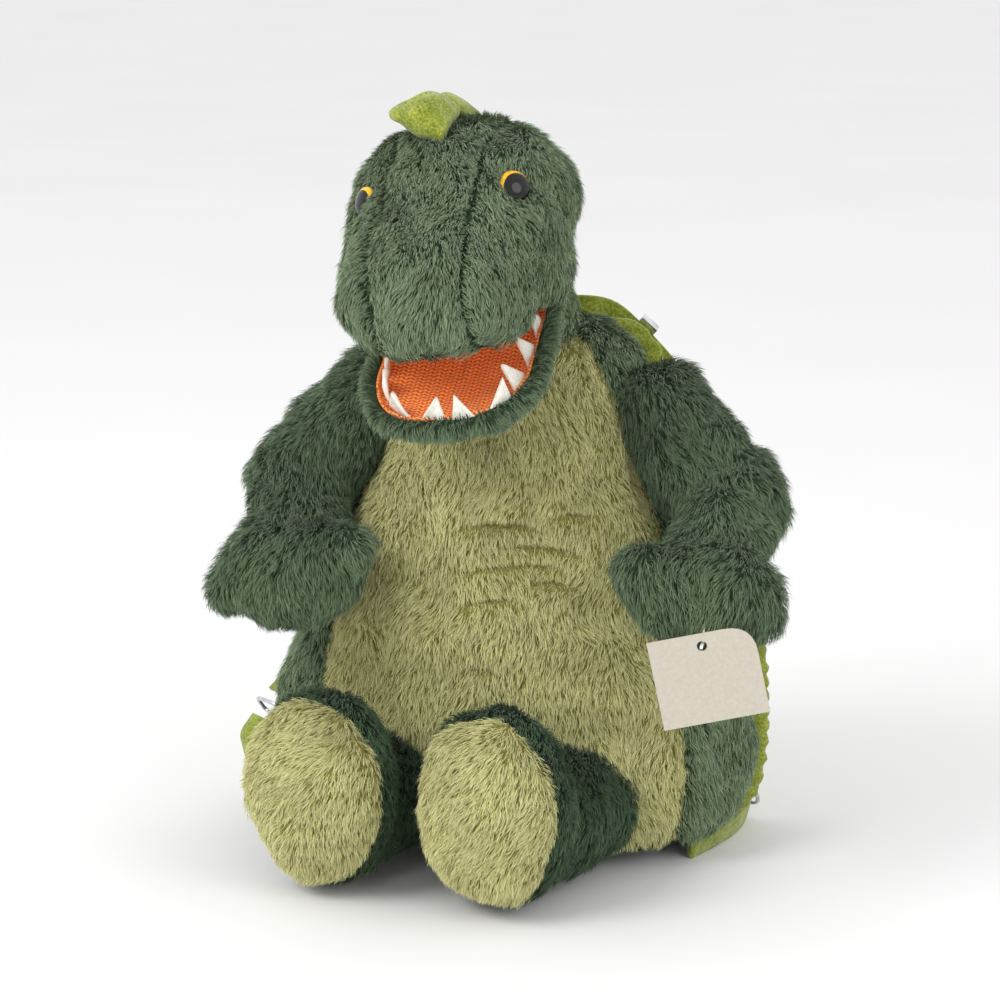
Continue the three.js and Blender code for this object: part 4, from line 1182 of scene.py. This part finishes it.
# ---------------------------------------------------------------- crest
def crown(angle):
    """A point on the crown's middle line, at an angle forwards of its top, in the head's own frame."""
    centre, radii = (np.array(v, float) for v in HEAD_BALLS[0])
    t = math.radians(angle)
    reach = 1 / math.hypot(math.cos(t) / radii[2], math.sin(t) / radii[1])
    return centre + (0, -reach * math.sin(t), reach * math.cos(t))


SPIKE_SEWN = 5  # a spike's foot is this deep under the crown


def make_spike(number, front, rear, tip, puff):
    """A stuffed velvet lobe, sewn along the crown from front to rear, that has flopped over to one side."""
    rng = np.random.default_rng(700 + number)
    first, last, tip = crown(front), crown(rear), np.array(tip, float)
    middle = (first + last) / 2
    base, up = unit(last - first), unit(tip - middle)
    half, tall = np.linalg.norm(last - first) / 2, np.linalg.norm(tip - middle)
    out = unit(np.cross(base, up))
    rings = []
    for t in np.linspace(0, 1, 30):
        width = half * (1 - t**5) ** 0.55 * (1 - 0.45 * t) + 0.3
        taper = (1 - max(t - 0.5, 0) ** 2 * 4) ** 0.5
        thick = puff / 2 * taper * (0.72 + 0.5 * math.sin(math.pi * min(t * 1.3, 1)))
        centre = middle + up * (tall * t - SPIKE_SEWN * (1 - t)) + out * 3.0 * math.sin(math.pi * t)
        ring = []
        for a in circle(44):
            c, s = math.cos(a), math.sin(a)
            across = width * math.copysign(abs(c) ** 0.92, c)
            pinch = 1 - 0.35 * groove(across - half * 0.12, 2.6) * groove(t - 0.72, 0.22)
            crease = 1 + 0.08 * math.sin(across * 0.7 + number) * math.sin(5 * t + number)
            ring.append(centre + base * across + out * max(thick, 0.4) * s * pinch * crease)
        rings.append(ring)
    points, faces = loft(rings)
    points = points + 0.5 * unit(rng.normal(size=3)) * swirl(points, 700 + number, 14)[:, None]
    piece = mesh_piece(f"velvet_spike_{number}", packed(on_head(points)), faces, LIME_VELVET)
    smooth = piece.modifiers.new("round", "SUBSURF")
    smooth.levels = smooth.render_levels = 1
    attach(piece, "head")
    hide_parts(f"crest_spike_{number}")


make_spike(1, 44, 4, (-23, -60, 114), 17)
make_spike(2, -4, -44, (-17, -34, 112), 11)
make_spike(3, -52, -84, (-24, 12, 100), 13)


# ---------------------------------------------------------------- back, zip and straps
ZIP_HEIGHT, ZIP_HALF = 178.0, 58.0


def torso_half(z):
    """Half the torso's width at a height."""
    share, up = np.array(WIDTHS).T
    return HALF_WIDTH * np.interp(np.clip(z / TORSO_HEIGHT, 0, 1), up, share)


# The back's padded edge: depth, and how far it stands past the torso's outline.
BACK_PROFILE = ((40, -9), (42, 1), (44.5, 4.5), (48, 4.5), (50.5, 1), (51.5, -5))
BACK_SHORT = 8  # the back ends this far under the torso's top
GATHER = 8.5  # one pucker of the gathered edge
ZIP_MOUTH = 8  # half the height of the dip that the zip lies in


def above_zip(points):
    return points[:, 2] > ZIP_HEIGHT


def below_zip(points):
    return ~above_zip(points)


def make_back():
    """The velvet back: a padded pocket front with gathered edges and a zip across it."""
    rings = []
    for y, out in BACK_PROFILE:
        side = []
        for t in np.linspace(0, 1, 30):
            x, z = torso_half(t * TORSO_HEIGHT) + out, t * (TORSO_HEIGHT - BACK_SHORT)
            side.append((x, y, max(z + (out if z > 200 else 0), 0.8)))
        rings.append(side + [(-x, y, z) for x, y, z in side[::-1]])
    skin = Skin("back", [loft(rings)], 2.6, 4)
    p = skin.points
    edge = torso_half(p[:, 2]) - np.abs(p[:, 0])
    rear = step(p[:, 1], 47, 50)
    zip_near = np.maximum(np.abs(p[:, 2] - ZIP_HEIGHT) - ZIP_MOUTH, np.abs(p[:, 0]) - ZIP_HALF - 2)
    quilt = 3.2 * step(edge, 4, 45) * step(zip_near, 0, 22)
    quilt *= step(p[:, 2], 4, 40)
    quilt *= step(264 - p[:, 2], 0, 30)
    gathers = 0.9 * np.sin(p[:, 2] * 2 * np.pi / GATHER + 1.2 * np.sin(p[:, 2] * 0.09)) * groove(edge, 16)
    creases = (1.3 * swirl(p, 71, 34) + 0.6 * swirl(p, 72, 15)) * step(edge, 0, 20)
    p[:, 1] += rear * (quilt + gathers + creases) - 3.2 * rear * step(-zip_near, -3, 1)
    p[:, 0] += np.sign(p[:, 0]) * gathers * step(6 - edge, 0, 6)
    p[:, 2] = np.maximum(p[:, 2], 0.6)
    skin.panel("back_upper_velvet", above_zip, LIME_VELVET, "torso", ["back_panel_upper"], thick=1.4)
    nodes = ["back_panel_lower", "pocket_lining"]
    skin.panel("back_lower_velvet", below_zip, LIME_VELVET, "torso", nodes, thick=1.4)


def strip(name, route, width, thick, across, finish, steps=90, hems=True):
    """A flat band of cloth along a route, with rounded edges and a line of stitches near each."""
    route = np.asarray(route, float)
    along = np.concatenate([[0], np.cumsum(np.linalg.norm(np.diff(route, axis=0), axis=1))])
    t = np.linspace(0, along[-1], steps)
    line = np.stack([np.interp(t, along, route[:, i]) for i in range(3)], 1)
    for _ in range(10):
        line[1:-1] += 0.5 * ((line[:-2] + line[2:]) / 2 - line[1:-1])
    way = unit(np.gradient(line, axis=0))
    across = np.asarray(across, float)
    across = across if across.ndim == 2 else np.broadcast_to(across, line.shape)
    if len(across) != steps:
        across = np.stack([np.interp(t, along, across[:, i]) for i in range(3)], 1)
    side = unit(across - (across * way).sum(1, keepdims=True) * way)
    out = np.cross(way, side)
    outline = []
    for a in circle(28):
        c, s = math.cos(a), math.sin(a)
        u = math.copysign(abs(c) ** 0.35, c)
        dip = 1 - 0.35 * math.exp(-(((abs(u) - 0.8) / 0.07) ** 2)) if hems else 1
        outline.append((u * width / 2, math.copysign(abs(s) ** 0.6, s) * thick / 2 * dip))
    rings = [[p + side[i] * u + out[i] * w for u, w in outline] for i, p in enumerate(line)]
    points, faces = loft(rings)
    piece = mesh_piece(name, packed(points), faces, finish)
    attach(piece, "torso")
    return piece


RING_WIDE, RING_TALL, RING_CORNER, RING_WIRE = 17, 10, 3.2, 1.1
RING_TILT = 35


def wire_ring(name, middle, turn):
    """A bent wire ring with rounded corners."""
    curve = bpy.data.curves.new(name, "CURVE")
    curve.dimensions, curve.bevel_depth, curve.bevel_resolution = "3D", RING_WIRE * MM, 6
    line = []
    for cx, cz, start in ((1, 1, 0), (-1, 1, 90), (-1, -1, 180), (1, -1, 270)):
        for a in np.radians(np.linspace(start, start + 90, 7)):
            x = cx * (RING_WIDE / 2 - RING_CORNER) + RING_CORNER * math.cos(a)
            z = cz * (RING_TALL / 2 - RING_CORNER) + RING_CORNER * math.sin(a)
            line.append((x, 0, z))
    line = np.array(line) @ turned("X", RING_TILT).T @ turned("Z", turn).T + middle
    spline = curve.splines.new("POLY")
    spline.points.add(len(line) - 1)
    for point, place in zip(spline.points, packed(line)):
        point.co = (*place, 1)
    spline.use_cyclic_u = True
    curve.materials.append(STEEL)
    ring = bpy.data.objects.new(name, curve)
    bpy.context.scene.collection.objects.link(ring)
    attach(ring, "torso")
    return ring


STRAP_ROUTE = {
    "left": [
        (12, 50, 262),
        (34, 53, 262),
        (58, 57, 237),
        (82, 68, 200),
        (100, 72, 140),
        (107, 66, 84),
        (109, 60, 40),
        (109, 58, 20),
    ],
    "right": [
        (12, 50, 262),
        (34, 53, 262),
        (58, 57, 237),
        (82, 68, 200),
        (102, 70, 140),
        (108, 66, 100),
        (116, 54, 78),
        (133, 28, 59),
    ],
}
# Which way each strap's width lies, for each point of its route.
STRAP_ACROSS = [(0.5, 0.1, 0.85)] * 2 + [(0.75, 0.2, 0.5)] * 2
STRAP_ACROSS += [(0.85, 0.5, 0.1)] * 2 + [(0.7, 0.7, 0.1)] * 2
STRAP_WIDE, STRAP_THICK, STRAP_FLAT = 23, 3.2, (0.0255, 0.335)
TAB_WIDE, TAB_THICK = 12, 4
# The left tab is folded forward along the foot of the flank, and the right one hangs out at the side.
TAB_ROUTE = {
    "left": [(111, 56, 9), (111, 46, 5.5), (109, 28, 6), (103, 8, 6.5), (94, -12, 5.5)],
    "right": [(141, 14, 49), (146, 8, 41), (142, 5, 29), (128, 4, 16)],
}
TAB_ACROSS = {"left": (0.25, 0, 1), "right": (0.8, 0.6, 0)}
RING_MIDDLE = {"left": (108, 56, 12), "right": (137, 20, 53)}
RING_TURN = {"left": 0, "right": -35}


def make_straps():
    for side, sign in (("left", 1), ("right", -1)):
        mirror = np.array([sign, 1, 1])
        route, across = np.array(STRAP_ROUTE[side]) * mirror, np.array(STRAP_ACROSS) * mirror
        strap = strip(f"velvet_strap_{side}", route, STRAP_WIDE, STRAP_THICK, across, LIME_VELVET, 120)
        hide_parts(f"strap_{side}")
        ring = wire_ring(f"wire_ring_{side}", RING_MIDDLE[side] * mirror, RING_TURN[side])
        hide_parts(f"strap_ring_{side}")
        route, across = np.array(TAB_ROUTE[side]) * mirror, np.array(TAB_ACROSS[side]) * mirror
        tab = strip(f"velvet_tab_{side}", route, TAB_WIDE, TAB_THICK, across, LIME_VELVET, 50)
        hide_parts(f"strap_tab_{side}")


HARDWARE = {
    "strap_adjuster_left": STEEL,
    "strap_adjuster_right": STEEL,
    "zip_slider": STEEL,
    "zip_pull": STEEL,
    "hang_tag": CARD,
    "tag_thread": WHITE_PLASTIC,
    "eye_washer_left": WHITE_PLASTIC,
    "eye_washer_right": WHITE_PLASTIC,
}
WORN_EDGE = 0.0004


def dress_hardware():
    """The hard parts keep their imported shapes, with all their edges but the card's broken."""
    for node, finish in HARDWARE.items():
        part = frame["nodes"][node]
        for slot in part.material_slots:
            slot.material = finish
        if node != "hang_tag":
            edges = part.modifiers.new("edges", "BEVEL")
            edges.width, edges.segments, edges.limit_method = WORN_EDGE, 3, "ANGLE"


TAPE_WIDE, TAPE_THICK, TAPE_DEPTH, TAPE_OFF, TAPE_FLAT = 8.6, 1.2, 48.6, 4.9, (0.01, 0.117)
COIL_LINKS, COIL_WIRE, COIL_DEPTH = 76, 0.62, 49.2


def make_zip():
    """Two woven tapes, with the nylon coil down the middle."""
    for half, sign in (("upper", 1), ("lower", -1)):
        height = ZIP_HEIGHT + sign * TAPE_OFF
        route = [(x, TAPE_DEPTH, height) for x in np.linspace(-ZIP_HALF, ZIP_HALF, 30)]
        tape = strip(f"woven_tape_{half}", route, TAPE_WIDE, TAPE_THICK, (0, 0, 1), ZIP_TAPE, 60, False)
        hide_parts(f"zip_tape_{half}")
    points, faces = [], []
    for i, x in enumerate(np.linspace(-ZIP_HALF + 1, ZIP_HALF - 1, COIL_LINKS)):
        sign = 1 if i % 2 else -1
        start, end = (x, COIL_DEPTH, ZIP_HEIGHT - sign * 0.8), (x, COIL_DEPTH, ZIP_HEIGHT + sign * 1.9)
        link_points, link_faces = sausage(start, end, COIL_WIRE, COIL_WIRE, 8)
        faces += [tuple(k + len(points) for k in face) for face in link_faces]
        points += list(link_points)
    coil = mesh_piece("zip_coil", packed(points), faces, ZIP_COIL)
    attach(coil, "torso")


make_back()
make_straps()
make_zip()
dress_hardware()
